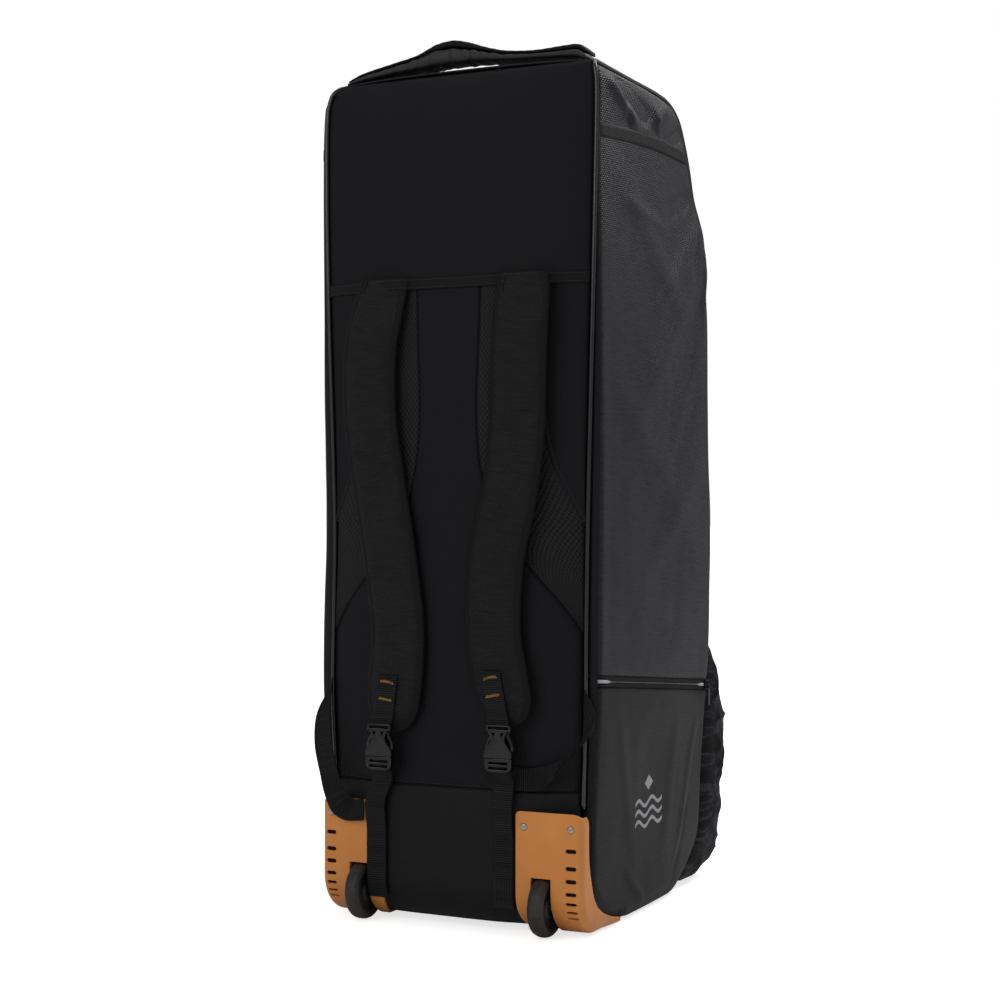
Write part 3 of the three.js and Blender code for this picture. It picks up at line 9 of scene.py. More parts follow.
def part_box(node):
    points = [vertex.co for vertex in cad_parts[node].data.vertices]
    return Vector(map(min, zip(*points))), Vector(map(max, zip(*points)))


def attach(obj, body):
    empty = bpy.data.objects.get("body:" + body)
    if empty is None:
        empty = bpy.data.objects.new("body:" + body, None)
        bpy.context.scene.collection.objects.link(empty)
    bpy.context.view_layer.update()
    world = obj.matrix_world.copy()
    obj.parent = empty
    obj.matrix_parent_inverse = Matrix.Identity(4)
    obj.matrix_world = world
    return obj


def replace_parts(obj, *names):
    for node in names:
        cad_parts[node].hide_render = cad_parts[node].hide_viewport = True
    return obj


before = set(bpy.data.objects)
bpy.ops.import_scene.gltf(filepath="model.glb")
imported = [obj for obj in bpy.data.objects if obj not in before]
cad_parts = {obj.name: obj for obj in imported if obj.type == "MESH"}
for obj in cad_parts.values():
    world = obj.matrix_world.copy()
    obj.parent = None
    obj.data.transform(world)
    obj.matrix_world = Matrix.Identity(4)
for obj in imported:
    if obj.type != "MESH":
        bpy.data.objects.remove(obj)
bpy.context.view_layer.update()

# The room: a photo studio with white paper under and behind the bag.
# Daylight from all round, a lamp high behind the bag's right side and a weaker one on its left.
# The camera stands at the height of the bag's middle and sees its back and its right side.
scene = bpy.context.scene
scene.view_settings.view_transform = "Standard"
CAMERA_TURN = 25.5
CAMERA_PLACE = (0.9657, -2.1100, 0.466)
FOCAL_LENGTH, SENSOR_WIDTH, CAMERA_SHIFT = 68.0, 36, 0.013
FLOOR_SIZE = 120


def linear(colour):
    """An sRGB hex colour as linear red, green, blue and alpha."""
    parts = [int(colour[i:i + 2], 16) / 255 for i in (1, 3, 5)]
    return [c / 12.92 if c <= 0.04045 else ((c + 0.055) / 1.055) ** 2.4 for c in parts] + [1]


def add_node(tree, kind, links=(), **settings):
    """A node with its settings; links names its inputs, as values or as sockets to join."""
    made = tree.nodes.new(kind)
    for key, value in settings.items():
        setattr(made, key, value)
    for key, value in dict(links).items():
        if isinstance(value, bpy.types.NodeSocket):
            tree.links.new(value, made.inputs[key])
        else:
            made.inputs[key].default_value = value
    return made


def new_material(name, roughness=0.5, gloss=0.5):
    """A material with its node tree and shader; gloss is how strongly it reflects."""
    made = bpy.data.materials.new(name)
    made.use_nodes = True
    shader = made.node_tree.nodes["Principled BSDF"]
    shader.inputs["Roughness"].default_value = roughness
    shader.inputs["Specular IOR Level"].default_value = gloss
    return made, made.node_tree, shader


camera = bpy.data.objects.new("camera", bpy.data.cameras.new("camera"))
camera.location = CAMERA_PLACE
camera.rotation_euler = (math.radians(90), 0, math.radians(CAMERA_TURN))
camera.data.lens = FOCAL_LENGTH
camera.data.sensor_width = SENSOR_WIDTH
camera.data.shift_y = CAMERA_SHIFT
scene.collection.objects.link(camera)
scene.camera = camera

world = bpy.data.worlds.new("studio")
scene.world = world
world.use_nodes = True
tree = world.node_tree
tree.nodes.clear()
sky = add_node(tree, "ShaderNodeBackground", {"Color": (1, 1, 1, 1), "Strength": 0.36})
paper = add_node(tree, "ShaderNodeBackground", {"Color": (1, 1, 1, 1), "Strength": 1.0})
ray = add_node(tree, "ShaderNodeLightPath").outputs["Is Camera Ray"]
mixed = add_node(tree, "ShaderNodeMixShader", {0: ray, 1: sky.outputs[0], 2: paper.outputs[0]})
add_node(tree, "ShaderNodeOutputWorld", {"Surface": mixed.outputs[0]})

for name, place, aim, size, watts in (
    ("lamp_right", (1.1, 1.25, 2.2), (0.15, 0.0, 0.7), 0.9, 21),
    ("lamp_left", (-0.9, -3.0, 2.0), (0.0, -0.1, 0.6), 1.8, 24),
    ("lamp_top", (0.2, 0.2, 2.9), (0.0, 0.0, 0.6), 1.6, 16),
):
    lamp = bpy.data.objects.new(name, bpy.data.lights.new(name, "AREA"))
    lamp.data.energy = watts
    lamp.data.size = size
    lamp.location = place
    lamp.rotation_euler = (Vector(aim) - Vector(place)).to_track_quat("-Z", "Y").to_euler()
    scene.collection.objects.link(lamp)

bpy.ops.mesh.primitive_plane_add(size=FLOOR_SIZE, location=(0, 0, 0))
floor = bpy.context.object
floor.name = "floor"
white, tree, shader = new_material("seamless_paper", 0.9, 0.1)
shader.inputs["Base Color"].default_value = linear("#F4F4F4")
# The paper is lit up towards the distance, and its glow is seen by the camera only
spot = add_node(tree, "ShaderNodeTexCoord").outputs["Object"]
far = add_node(tree, "ShaderNodeVectorMath", {0: spot}, operation="LENGTH").outputs["Value"]
rise = {"Value": far, "From Min": 0.4, "From Max": 1.8, "To Min": 0.72, "To Max": 1.0}
glow = add_node(tree, "ShaderNodeMapRange", rise).outputs[0]
ray = add_node(tree, "ShaderNodeLightPath").outputs["Is Camera Ray"]
seen = add_node(tree, "ShaderNodeMath", {0: glow, 1: ray}, operation="MULTIPLY").outputs[0]
shader.inputs["Emission Color"].default_value = (1, 1, 1, 1)
tree.links.new(seen, shader.inputs["Emission Strength"])
floor.data.materials.append(white)

# Form of the bag: the outline that its cloth panels are cut to, in millimetres.
# It is measured from the seam of the back, with 0 across at the middle between the wheels.
# Rows run up the height, and each gives shares of half the width or of the back's crown.
HEIGHT, WIDTH, DEPTH = 962, 330, 378
BACK_CROWN, FRONT_CROWN, SIDE_PUFF, SIDE_CROWN = 25, 15, 11, 4
# Share of the side puff on the left and on the right, by height
PUFF_ROWS = (
    (0.00, 1.00, 1.00), (0.16, 1.30, 1.00), (0.28, 1.78, 1.25), (0.45, 1.72, 1.25),
    (0.62, 1.50, 1.00), (0.76, 1.15, 0.62), (0.90, 0.95, 0.20), (1.00, 0.90, 0.30),
)
SEAM_ROUND, END_ROUND, HEEL, HEEL_LIFT, SHOULDER = 11, 24, 44, 6, 12
HEEL_START = HEEL + HEEL_LIFT
PIPING = 5
EDGE = PIPING / 2 + 0.2
CLOTH = 1.6
WHEEL_BEHIND_SEAM = 0.010
wheel_low, wheel_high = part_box("wheel_left")[0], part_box("wheel_right")[1]
ORIGIN = Vector(((wheel_low[0] + wheel_high[0]) / 2,
                 (wheel_low[1] + wheel_high[1]) / 2 + WHEEL_BEHIND_SEAM, 0))

WIDTH_ROWS = (
    (0.000, 0.940, 0.925), (0.156, 0.952, 0.939), (0.264, 0.980, 0.955), (0.346, 0.974, 0.958),
    (0.478, 0.963, 0.970), (0.755, 1.015, 1.010), (0.904, 1.030, 1.030), (0.972, 1.018, 1.034),
    (0.990, 0.985, 1.022), (1.000, 0.930, 1.000),
)
CROWN_ROWS = ((0.00, 1.00), (0.47, 1.00), (0.75, 0.90), (0.93, 0.70), (0.98, 0.42), (1.00, 0.12))
# From the top of the back over the top, down the front and under: out, up, share of front's crown
GIRTH_ROWS = (
    (0.000, 1.000, 0.25), (0.270, 1.000, 0.45), (0.542, 1.000, 0.60), (0.603, 0.997, 0.65),
    (0.675, 0.979, 0.75), (0.722, 0.956, 0.80), (0.775, 0.923, 0.85), (0.823, 0.886, 0.90),
    (0.873, 0.865, 0.95), (0.923, 0.841, 1.00), (0.958, 0.766, 1.00), (0.974, 0.572, 1.00),
    (1.000, 0.478, 1.00), (1.000, 0.407, 0.95), (0.995, 0.315, 0.85), (0.974, 0.254, 0.80),
    (0.958, 0.144, 0.60), (0.931, 0.066, 0.35), (0.841, 0.036, 0.15), (0.754, 0.016, 0.05),
    (0.690, 0.000, 0.00), (0.600, 0.000, 0.00), (0.450, 0.000, 0.00), (0.305, 0.000, 0.00),
)
TOP_SEAM_ROW, FRONT_END_ROW, BASE_START_ROW = 6, 18, 20
BASE_START = DEPTH * GIRTH_ROWS[BASE_START_ROW][0]
GIRTH_STEPS = 600


def among(rows, place, column):
    """A column's value at a place among the rows' first column, smooth from row to row."""
    last = len(rows) - 1
    place = min(max(place, rows[0][0]), rows[last][0])
    i = min(max(bisect.bisect_left([row[0] for row in rows], place) - 1, 0), last - 1)

    def slope(k):
        low, high = rows[max(k - 1, 0)], rows[min(k + 1, last)]
        return (high[column] - low[column]) / (high[0] - low[0])

    span = rows[i + 1][0] - rows[i][0]
    t = (place - rows[i][0]) / span
    rise = rows[i + 1][column] - rows[i][column]
    bend, unbend = slope(i) * span - rise, rise - slope(i + 1) * span
    return rows[i][column] + t * rise + t * (1 - t) * (bend * (1 - t) + unbend * t)


def half_width(side, z):
    return WIDTH / 2 * among(WIDTH_ROWS, z / HEIGHT, 1 if side < 0 else 2)


def panel_edge(side, z):
    return side * (half_width(side, z) - EDGE)


def back_y(x, z):
    share = min(1, abs(x) / half_width(x, z))
    return -BACK_CROWN * among(CROWN_ROWS, z / HEIGHT, 1) * (1 - share ** 2.8)


def through(points, t):
    """A point on the smooth curve through points, with t from 0 to 1."""
    last = len(points) - 1
    k = min(int(last * t), last - 1)
    w = last * t - k
    p1, p2 = Vector(points[k]), Vector(points[k + 1])
    p0 = Vector(points[k - 1]) if k > 0 else 2 * p1 - p2
    p3 = Vector(points[k + 2]) if k + 2 <= last else 2 * p2 - p1
    d0, d1, d2 = (max((b - a).length, 1e-4) ** 0.5 for a, b in ((p0, p1), (p1, p2), (p2, p3)))
    t1 = ((p1 - p0) / d0 - (p2 - p0) / (d0 + d1) + (p2 - p1) / d1) * d1
    t2 = ((p2 - p1) / d1 - (p3 - p1) / (d1 + d2) + (p3 - p2) / d2) * d1
    bend = (3 * (p2 - p1) - 2 * t1 - t2) * w * w
    return p1 + t1 * w + bend + (2 * (p1 - p2) + t1 + t2) * w ** 3


girth_points = [(full, out * DEPTH, up * HEIGHT) for out, up, full in GIRTH_ROWS]
girth_line = [through(girth_points, k / GIRTH_STEPS) for k in range(GIRTH_STEPS + 1)]


def girth_of(row):
    return row / (len(GIRTH_ROWS) - 1)


front_end = math.ceil(girth_of(BASE_START_ROW) * GIRTH_STEPS) + 1
front_line = [p for p in girth_line[:front_end] if p.y > DEPTH / 2]
front_heights = [-p.z for p in front_line]


def front_y(z):
    """How far the seam of the front stands from the seam of the back at a height."""
    i = bisect.bisect_left(front_heights, -z)
    if i <= 0 or i >= len(front_line):
        return BASE_START if i > 0 else front_line[0].y
    low, high = front_line[i], front_line[i - 1]
    t = (z - low.z) / (high.z - low.z) if high.z > low.z else 0
    return low.y + (high.y - low.y) * t


def round_down(drop, radius):
    """How far a quarter round has turned in at a drop below where it starts."""
    drop = min(max(drop, 0), radius)
    return radius - math.sqrt(radius ** 2 - drop ** 2)


def quarter(distance, radius):
    """A quarter round from 0 at a seam to 1 at its radius."""
    return math.sqrt(1 - (1 - min(max(distance / radius, 0), 1)) ** 2)


def soft_step(low, high, value):
    t = min(max((value - low) / (high - low), 0), 1)
    return t * t * (3 - 2 * t)


def mesh_object(name, points, faces, material, uvs=None, smooth=True):
    """An object from points in millimetres; uvs gives one place in metres for each point."""
    mesh = bpy.data.meshes.new(name)
    mesh.from_pydata([ORIGIN + Vector(p) / 1000 for p in points], [], faces)
    if uvs:
        layer = mesh.uv_layers.new(name="cloth")
        for loop in mesh.loops:
            layer.data[loop.index].uv = uvs[loop.vertex_index]
    mesh.materials.append(material)
    if smooth:
        mesh.shade_smooth()
    made = bpy.data.objects.new(name, mesh)
    scene.collection.objects.link(made)
    return made


def on_bag(piece, *nodes):
    """The piece moves with the bag and stands in for the CAD nodes named."""
    if nodes:
        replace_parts(piece, *nodes)
    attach(piece, "bag")
    return piece


def sewn(name, at, across, along, material, relief=None, thick=CLOTH, dip=1.4, turn=5,
         inside=(0, DEPTH / 2, HEIGHT / 2), open_edges=()):
    """A panel of cloth with its outer face at(u, v), in steps of so many millimetres.

    Its edges turn down into the seam, except those named in open_edges.
    """
    middle = [[Vector(at(i / 20, 0.5)) for i in range(21)], [Vector(at(0.5, i / 20)) for i in range(21)]]
    wide, high = (sum((b - a).length for a, b in zip(row, row[1:])) for row in middle)
    nu, nv = max(round(wide / across), 2), max(round(high / along), 2)
    grid = [[Vector(at(i / nu, j / nv)) for i in range(nu + 1)] for j in range(nv + 1)]
    mid = grid[nv // 2][nu // 2]
    cross = (grid[nv // 2][nu // 2 + 1] - mid).cross(grid[nv // 2 + 1][nu // 2] - mid)
    out = 1 if cross.dot(mid - Vector(inside)) > 0 else -1
    outer, inner, uvs = [], [], []
    for j, row in enumerate(grid):
        for i, point in enumerate(row):
            du = row[min(i + 1, nu)] - row[max(i - 1, 0)]
            dv = grid[min(j + 1, nv)][i] - grid[max(j - 1, 0)][i]
            normal = du.cross(dv).normalized() * out
            u, v = i / nu, j / nv
            room = {"left": u * wide, "right": (1 - u) * wide, "low": v * high, "high": (1 - v) * high}
            drop = sum(dip * (1 - quarter(d, turn)) for edge, d in room.items() if edge not in open_edges)
            lift = relief(u, v, point, min(room.values())) if relief else 0
            outer.append(point + normal * (lift - min(drop, dip)))
            inner.append(point - normal * thick)
            uvs.append((u * wide / 1000, v * high / 1000))
    width, count = nu + 1, len(outer)
    faces = []
    for j in range(nv):
        for i in range(nu):
            a = j * width + i
            quad = (a, a + 1, a + 1 + width, a + width)
            faces.append(quad if out > 0 else quad[::-1])
            back = tuple(k + count for k in quad)
            faces.append(back[::-1] if out > 0 else back)
    rim = ([*range(nu)] + [j * width + nu for j in range(nv)]
           + [nv * width + i for i in range(nu, 0, -1)] + [j * width for j in range(nv, 0, -1)])
    for a, b in zip(rim, rim[1:] + rim[:1]):
        quad = (b, a, a + count, b + count)
        faces.append(quad if out > 0 else quad[::-1])
    return mesh_object(name, outer + inner, faces, material, uvs + uvs)


def woven(name, colour, thread, roughness, gloss, bump, shade=0.35, patches=0.12, slub=0.0, ribs=False):
    """A woven cloth: thread is the spacing of its threads in millimetres, colour its sRGB hex.

    Slub is how much long wavy lines in the weft differ in tone, and ribs leave only the weft.
    Shade is painted shade: how much the threads are painted darker and lighter, for the shade in the weave's
    grooves, beside the real relief of the bump.
    """
    made, tree, shader = new_material(name, gloss=gloss)
    uv = add_node(tree, "ShaderNodeUVMap", uv_map="cloth").outputs[0]
    spacing = thread / 1000
    over = add_node(tree, "ShaderNodeTexChecker", {"Vector": uv, "Scale": 1 / spacing}).outputs["Fac"]
    lines = {"Vector": uv, "Scale": math.pi / 10 / spacing}
    warp, weft = (add_node(tree, "ShaderNodeTexWave", lines, bands_direction=direction).outputs["Fac"]
                  for direction in ("X", "Y"))
    threads = weft if ribs else add_node(tree, "ShaderNodeMix", {0: over, 2: warp, 3: weft}).outputs[0]
    cloud = add_node(tree, "ShaderNodeTexNoise", {"Vector": uv, "Scale": 9, "Detail": 4}).outputs[0]

    def spread(value, middle, amount, **limits):
        """A noise or wave as a factor that varies by an amount about a middle value."""
        inputs = {"Value": value, "To Min": middle - amount, "To Max": middle + amount, **limits}
        return add_node(tree, "ShaderNodeMapRange", inputs).outputs[0]

    # Painted shade: the threads' tone rises and falls by shade, for the shade in the grooves between them
    factors = [spread(cloud, 1, patches), spread(threads, 1, shade)]
    if slub:
        stretch = {"Vector": uv, "Rotation": (0, 0, math.radians(24)), "Scale": (0.16, 1, 1)}
        drawn = add_node(tree, "ShaderNodeMapping", stretch).outputs[0]
        waves = {"Vector": drawn, "Scale": 260, "Detail": 1, "Distortion": 0.4}
        wavy = add_node(tree, "ShaderNodeTexNoise", waves).outputs[0]
        factors.append(spread(wavy, 1, slub, **{"From Min": 0.3, "From Max": 0.7}))
    tone = factors[0]
    for factor in factors[1:]:
        tone = add_node(tree, "ShaderNodeMath", {0: tone, 1: factor}, operation="MULTIPLY").outputs[0]
    tinted = add_node(tree, "ShaderNodeVectorMath", {0: linear(colour)[:3], "Scale": tone}, operation="SCALE")
    tree.links.new(tinted.outputs[0], shader.inputs["Base Color"])
    tree.links.new(spread(cloud, roughness, 0.06), shader.inputs["Roughness"])
    raised = add_node(tree, "ShaderNodeBump", {"Height": threads, "Strength": bump, "Distance": spacing / 3})
    tree.links.new(raised.outputs[0], shader.inputs["Normal"])
    return made


def mottled(name, dark, light, scale, detail=2.0, roughness=0.5, gloss=0.5):
    """A material whose colour drifts between two sRGB tones, with its tree, shader and noise."""
    made, tree, shader = new_material(name, roughness, gloss)
    grain = add_node(tree, "ShaderNodeTexNoise", {"Scale": scale, "Detail": detail}).outputs["Fac"]
    tones = {0: grain, 6: linear(dark), 7: linear(light)}
    tone = add_node(tree, "ShaderNodeMix", tones, data_type="RGBA").outputs[2]
    tree.links.new(tone, shader.inputs["Base Color"])
    return made, tree, shader, grain


def creases(point, size, height, seed):
    """Shallow unevenness of a cloth face, in millimetres."""
    return height * noise.noise(Vector((point.x / size + seed, point.y / size, point.z / size * 0.7)))

# Back panels: smooth 420 denier nylon over thin foam, cut as one tall upper panel, a waisted
# middle panel, a shoulder yoke on each side and an open spacer mesh between them.
# All are sewn edge to edge. The upper panel ends at a flat tape that holds the shoulder straps.
BAND_LOW, BAND_HIGH, KICK_SEAM = 717.5, 730.5, 160
BAND_MIDDLE = (BAND_LOW + BAND_HIGH) / 2
MESH_LOW, YOKE_LOW = 0.345 * HEIGHT, 0.474 * HEIGHT
# Seams between the panels: height, and share of half the width at the mesh's two edges
SEAM_ROWS = (
    (0.337, 0.975, 1.20), (0.345, 0.950, 1.18), (0.362, 0.890, 1.15), (0.379, 0.818, 1.12),
    (0.399, 0.715, 1.08), (0.430, 0.545, 1.03), (0.452, 0.430, 1.00), (0.474, 0.350, 0.96),
    (0.509, 0.290, 0.86), (0.546, 0.240, 0.755), (0.603, 0.215, 0.690), (0.679, 0.230, 0.630),
    (0.760, 0.245, 0.595),
)
back_nylon = woven("nylon_420_denier", "#18181B", 1.4, 0.58, 0.1, 0.3, shade=0.3, patches=0.18)


def edge_line(side):
    return lambda z: panel_edge(side, z)


def seam_line(side, column):
    """A seam of the back: how far across it is at a height."""
    def x_at(z):
        reach = min(WIDTH / 2 * among(SEAM_ROWS, z / HEIGHT, column), abs(panel_edge(side, z)))
        return side * reach
    return x_at


def back_between(left, right, low, high):
    """The back's face between two edges and two heights."""
    def at(u, v):
        z = low + (high - low) * v
        x = left(z) + (right(z) - left(z)) * u
        return x, back_y(x, z), z
    return at


def back_relief(seed):
    return lambda u, v, point, edge: (
        creases(point, 90, 1.6, seed) * soft_step(0, 25, edge)
        + creases(point, 30, 0.35, seed + 7) * soft_step(2, 12, edge))


upper = back_between(edge_line(-1), edge_line(1), BAND_MIDDLE, HEIGHT - 0.5)
on_bag(sewn("upper_back", upper, 4, 4, back_nylon, back_relief(1)), "upper_back_panel")
middle = back_between(seam_line(-1, 1), seam_line(1, 1), KICK_SEAM, BAND_MIDDLE)
on_bag(sewn("centre_back", middle, 4, 4, back_nylon, back_relief(2)), "centre_panel")
for side, word in ((-1, "left"), (1, "right")):
    above = back_between(seam_line(side, 2), edge_line(side), YOKE_LOW, BAND_MIDDLE)
    yoke = sewn(f"yoke_{word}", above, 4, 4, back_nylon, back_relief(6 + side))
    on_bag(yoke, f"yoke_panel_{word}")

# Mesh panels: knitted polyester spacer mesh, 3 mm thick, open so that a back can breathe.
# Small staggered holes are painted near black, as painted shade inside them over the darker lining, and the
# knit between them has a dull shine.
# The real holes are about 2 mm apart: they are drawn coarser here, so that they show.
HOLE_PITCH = 4.2
air_mesh, tree, shader = new_material("polyester_air_mesh", 0.62, 0.25)
knit_uv = add_node(tree, "ShaderNodeUVMap", uv_map="cloth").outputs[0]
slant = {"Vector": knit_uv, "Rotation": (0, 0, math.radians(45)), "Scale": (1.0, 0.8, 1)}
turned_uv = add_node(tree, "ShaderNodeMapping", slant).outputs[0]
rows = {"Vector": turned_uv, "Scale": 1000 / HOLE_PITCH, "Randomness": 0.06}
cells = add_node(tree, "ShaderNodeTexVoronoi", rows, voronoi_dimensions="2D").outputs["Distance"]
hole = add_node(tree, "ShaderNodeMapRange", {"Value": cells, "From Min": 0.26, "From Max": 0.42}).outputs[0]
# Painted shade: the holes take the near-black tone, for the shade inside them over the lining
tones = {0: hole, 6: linear("#050505"), 7: linear("#19191C")}
knit = add_node(tree, "ShaderNodeMix", tones, data_type="RGBA").outputs[2]
tree.links.new(knit, shader.inputs["Base Color"])
sunk = add_node(tree, "ShaderNodeBump", {"Height": hole, "Strength": 0.8, "Distance": 0.0012})
tree.links.new(sunk.outputs[0], shader.inputs["Normal"])
for side, word in ((-1, "left"), (1, "right")):
    below = back_between(seam_line(side, 1), seam_line(side, 2), MESH_LOW, BAND_MIDDLE)
    netting = sewn(f"air_mesh_{word}", below, 4, 4, air_mesh, back_relief(4 + side))
    on_bag(netting, f"mesh_panel_{word}")

# Bound seams: a folded nylon tape 5.5 mm wide covers the raw edges where the mesh meets each yoke.
# The same tape, in other widths, crosses the sides and carries the piping.
BOUND_SEAM = 5.5
tape_nylon = woven("nylon_binding_tape", "#1A1A1D", 1.6, 0.6, 0.14, 0.5, shade=0.4)
for side, word in ((-1, "left"), (1, "right")):
    def on_seam(u, v, seam=seam_line(side, 2)):
        z = YOKE_LOW + (BAND_LOW - YOKE_LOW) * v
        slope = (seam(z + 3) - seam(z - 3)) / 6
        away = BOUND_SEAM * (u - 0.5) / math.hypot(1, slope)
        x, z = seam(z) + away, z - away * slope
        return x, back_y(x, z) - 0.5, z

    on_bag(sewn(f"seam_tape_{word}", on_seam, 1.2, 4, tape_nylon, dip=0.8, turn=1.4, thick=0.8))

# Sides: ballistic nylon of 1680 denier, a coarse basket weave with a slight shine, unlined and
# held out by the load, so it bulges from seam to seam and creases below the top's front corner.
# A flat tape crosses each side below the top, and the corner guards' flanges hold its low end.
# The real thread is 0.5 mm thick: it is drawn wider here, because it would not show at all.
GUARD_INNER, GUARD_OUTER, GUARD_THICK = 84, 163.5, 3
FOOT_LENGTH, FOOT_RAMP = 64, 22
FOOT_END = back_y(GUARD_INNER, HEEL_START) + HEEL + FOOT_LENGTH + 1.2
# Top of the corner guard's side flange over the cloth: distance behind the back seam and height
FLANGE_ROWS = (
    (-2, 76), (3, 60), (6.5, 50), (9.5, 44), (16, 36.5), (24, 29), (35, 22.6), (60, 14), (88, 8), (110, 7),
)
TAPE_HEIGHT, ZIP_HEIGHT, ZIP_BACK, ZIP_DROP = 16, 12, 276, 33
side_nylon = woven("ballistic_nylon_1680_denier", "#1B1B21", 2.4, 0.46, 0.24, 0.45,
                   shade=0.6, slub=0.45, patches=0.2)


def base_lift(y):
    return HEEL_LIFT * (1 - soft_step(FOOT_END, FOOT_END + FOOT_RAMP, y))


def side_floor(across):
    return base_lift(HEEL + across * (BASE_START - HEEL)) + 1


def clear_of(seam, z):
    """How far a panel's edge stays from the middle of the piping along a slanted seam."""
    slope = (seam(min(z + 4, HEIGHT)) - seam(max(z - 4, 0))) / 8
    return EDGE * min(math.hypot(1, slope), 2.2)


def side_edges(z):
    """How far the side cloth's two edges stand from the back seam at a height."""
    back = round_down(HEEL_START - z, HEEL) + round_down(z - HEIGHT + SHOULDER, SHOULDER)
    return back + EDGE, front_y(z) - clear_of(front_y, z)


def side_point(side, across, z, out=0):
    back, front = side_edges(z)
    y = back + (front - back) * across
    seams = quarter(y - back, SEAM_ROUND) * quarter(front - y, SEAM_ROUND)
    ends = quarter(z - side_floor(across), END_ROUND) * quarter(HEIGHT - z, END_ROUND)
    share = among(PUFF_ROWS, z / HEIGHT, 1 if side < 0 else 2)
    puff = (SIDE_PUFF * share * seams + SIDE_CROWN * math.sin(math.pi * across)) * ends
    top = among(FLANGE_ROWS, y, 1)
    held = (1 - soft_step(top - 2, top + 16, z)) * (1 - soft_step(82, 104, y))
    wide = half_width(side, z) + puff + out
    return side * (wide + (min(wide, GUARD_OUTER - 5) - wide) * held), y, z


def side_between(side, low, high, out=0):
    return lambda u, v: side_point(side, u, low(u) + (high(u) - low(u)) * v, out)


def beside(middle, away):
    """The height of a line so far above another line across a side."""
    return lambda across: middle(across) + away


def tape_middle(across):
    return HEIGHT * (0.9195 + 0.0145 * across + 0.004 * math.sin(math.pi * across))


def zip_middle(across):
    return ZIP_BACK + ZIP_HEIGHT / 2 - ZIP_DROP * across


def top_of_side(across):
    return HEIGHT - EDGE - 7 * max((across - 0.75) / 0.25, 0) ** 2


def ridge(y, z, fold):
    """Height of one fold, which runs from one place to another and fades at both ends."""
    y0, z0, y1, z1, width, height = fold
    run = (y1 - y0) ** 2 + (z1 - z0) ** 2
    t = ((y - y0) * (y1 - y0) + (z - z0) * (z1 - z0)) / run
    away = math.hypot(y - y0 - t * (y1 - y0), z - z0 - t * (z1 - z0))
    fade = soft_step(-0.05, 0.25, t) * (1 - soft_step(0.7, 1.1, t))
    return height * math.exp(-(away / width) ** 2) * fade


# Folds of a side in millimetres: from y and z to y and z, width and height
SIDE_FOLDS = (
    (352, 842, 150, 690, 16, 4.2), (345, 800, 90, 560, 22, 3.6), (362, 760, 200, 560, 16, -3.2),
    (330, 858, 300, 740, 9, -3.4), (352, 830, 338, 700, 7, 3.2), (40, 860, 260, 700, 24, 2.6),
    (30, 620, 300, 420, 28, 2.4), (350, 560, 120, 380, 24, 2.2), (20, 420, 240, 330, 20, 1.8),
    (300, 855, 200, 820, 10, -2.2), (60, 820, 210, 800, 9, 1.6), (200, 500, 340, 640, 14, -1.8),
    (60, 250, 120, 60, 12, 1.1), (250, 230, 210, 60, 14, 1.3), (330, 220, 250, 40, 9, 1.8),
    (90, 60, 150, 15, 7, 1.6), (300, 120, 240, 20, 7, -1.6),
)
CROWN_FOLDS = (
    (12, 950, 110, 905, 8, 4.6), (30, 955, 200, 900, 12, -3.8), (220, 955, 120, 900, 10, 3.4),
    (270, 930, 200, 900, 9, -3.0), (60, 950, 90, 890, 6, -2.4), (150, 950, 190, 890, 7, 2.4),
)


def side_relief(folds, seed):
    def lift(u, v, point, edge):
        rolled = sum(ridge(point.y, point.z, fold) for fold in folds)
        uneven = creases(point, 110, 2.2, seed) * soft_step(0, 30, edge)
        fine = creases(point, 34, 0.5, seed + 5) * soft_step(2, 12, edge)
        return rolled * soft_step(0, 14, edge) + uneven + fine
    return lift


for side, word in ((-1, "left"), (1, "right")):
    low = side_floor if side < 0 else beside(zip_middle, ZIP_HEIGHT / 2)
    panel = side_between(side, low, tape_middle)
    panel = sewn(f"side_cloth_{word}", panel, 4, 4, side_nylon, side_relief(SIDE_FOLDS, 11 + side))
    on_bag(panel, f"side_panel_{word}")
    crown = side_between(side, tape_middle, top_of_side)
    crown = sewn(f"top_gusset_{word}", crown, 3, 3, side_nylon, side_relief(CROWN_FOLDS, 15 + side))
    on_bag(crown, f"side_crown_{word}")

    def on_tape(u, v, side=side):
        """The tape's face; both ends sink into the seams."""
        ends = quarter(min(u, 1 - u), 0.05)
        return side_point(side, u, tape_middle(u) + TAPE_HEIGHT * (v - 0.5), 2.4 * ends - 1.2)

    tape = sewn(f"side_tape_cloth_{word}", on_tape, 3, 2, tape_nylon, dip=1.2, turn=2)
    on_bag(tape, f"side_tape_{word}")

# Insulated pocket low on the right side: coated nylon of 840 denier, duller and darker than the
# side above it. It is sewn into the same seams and shares the side's folds.
pocket_nylon = woven("coated_nylon_840_denier", "#111114", 2.4, 0.5, 0.2, 0.45,
                     shade=0.5, slub=0.35, patches=0.2)
pocket_folds = side_relief(SIDE_FOLDS, 21)
cooler = side_between(1, side_floor, beside(zip_middle, -ZIP_HEIGHT / 2))
on_bag(sewn("cooler_cloth", cooler, 3.5, 3.5, pocket_nylon, pocket_folds), "cooler_pocket")

# Printed mark: three plain wave lines and a small diamond, screen printed in light grey ink.
# The ink lies on the pocket's cloth and follows its folds.
PRINT_Y, PRINT_Z, PRINT_WIDTH, LINE_WIDTH, LINE_APART, WAVE = 160, 118, 84, 4.5, 12, 4
DIAMOND_WIDE, DIAMOND_HIGH, DIAMOND_ABOVE = 13, 9, 34
INSIDE_EDGE = 60
ink = mottled("screen_print_ink", "#8E8E92", "#B4B4B8", 300, 4, roughness=0.7)[0]


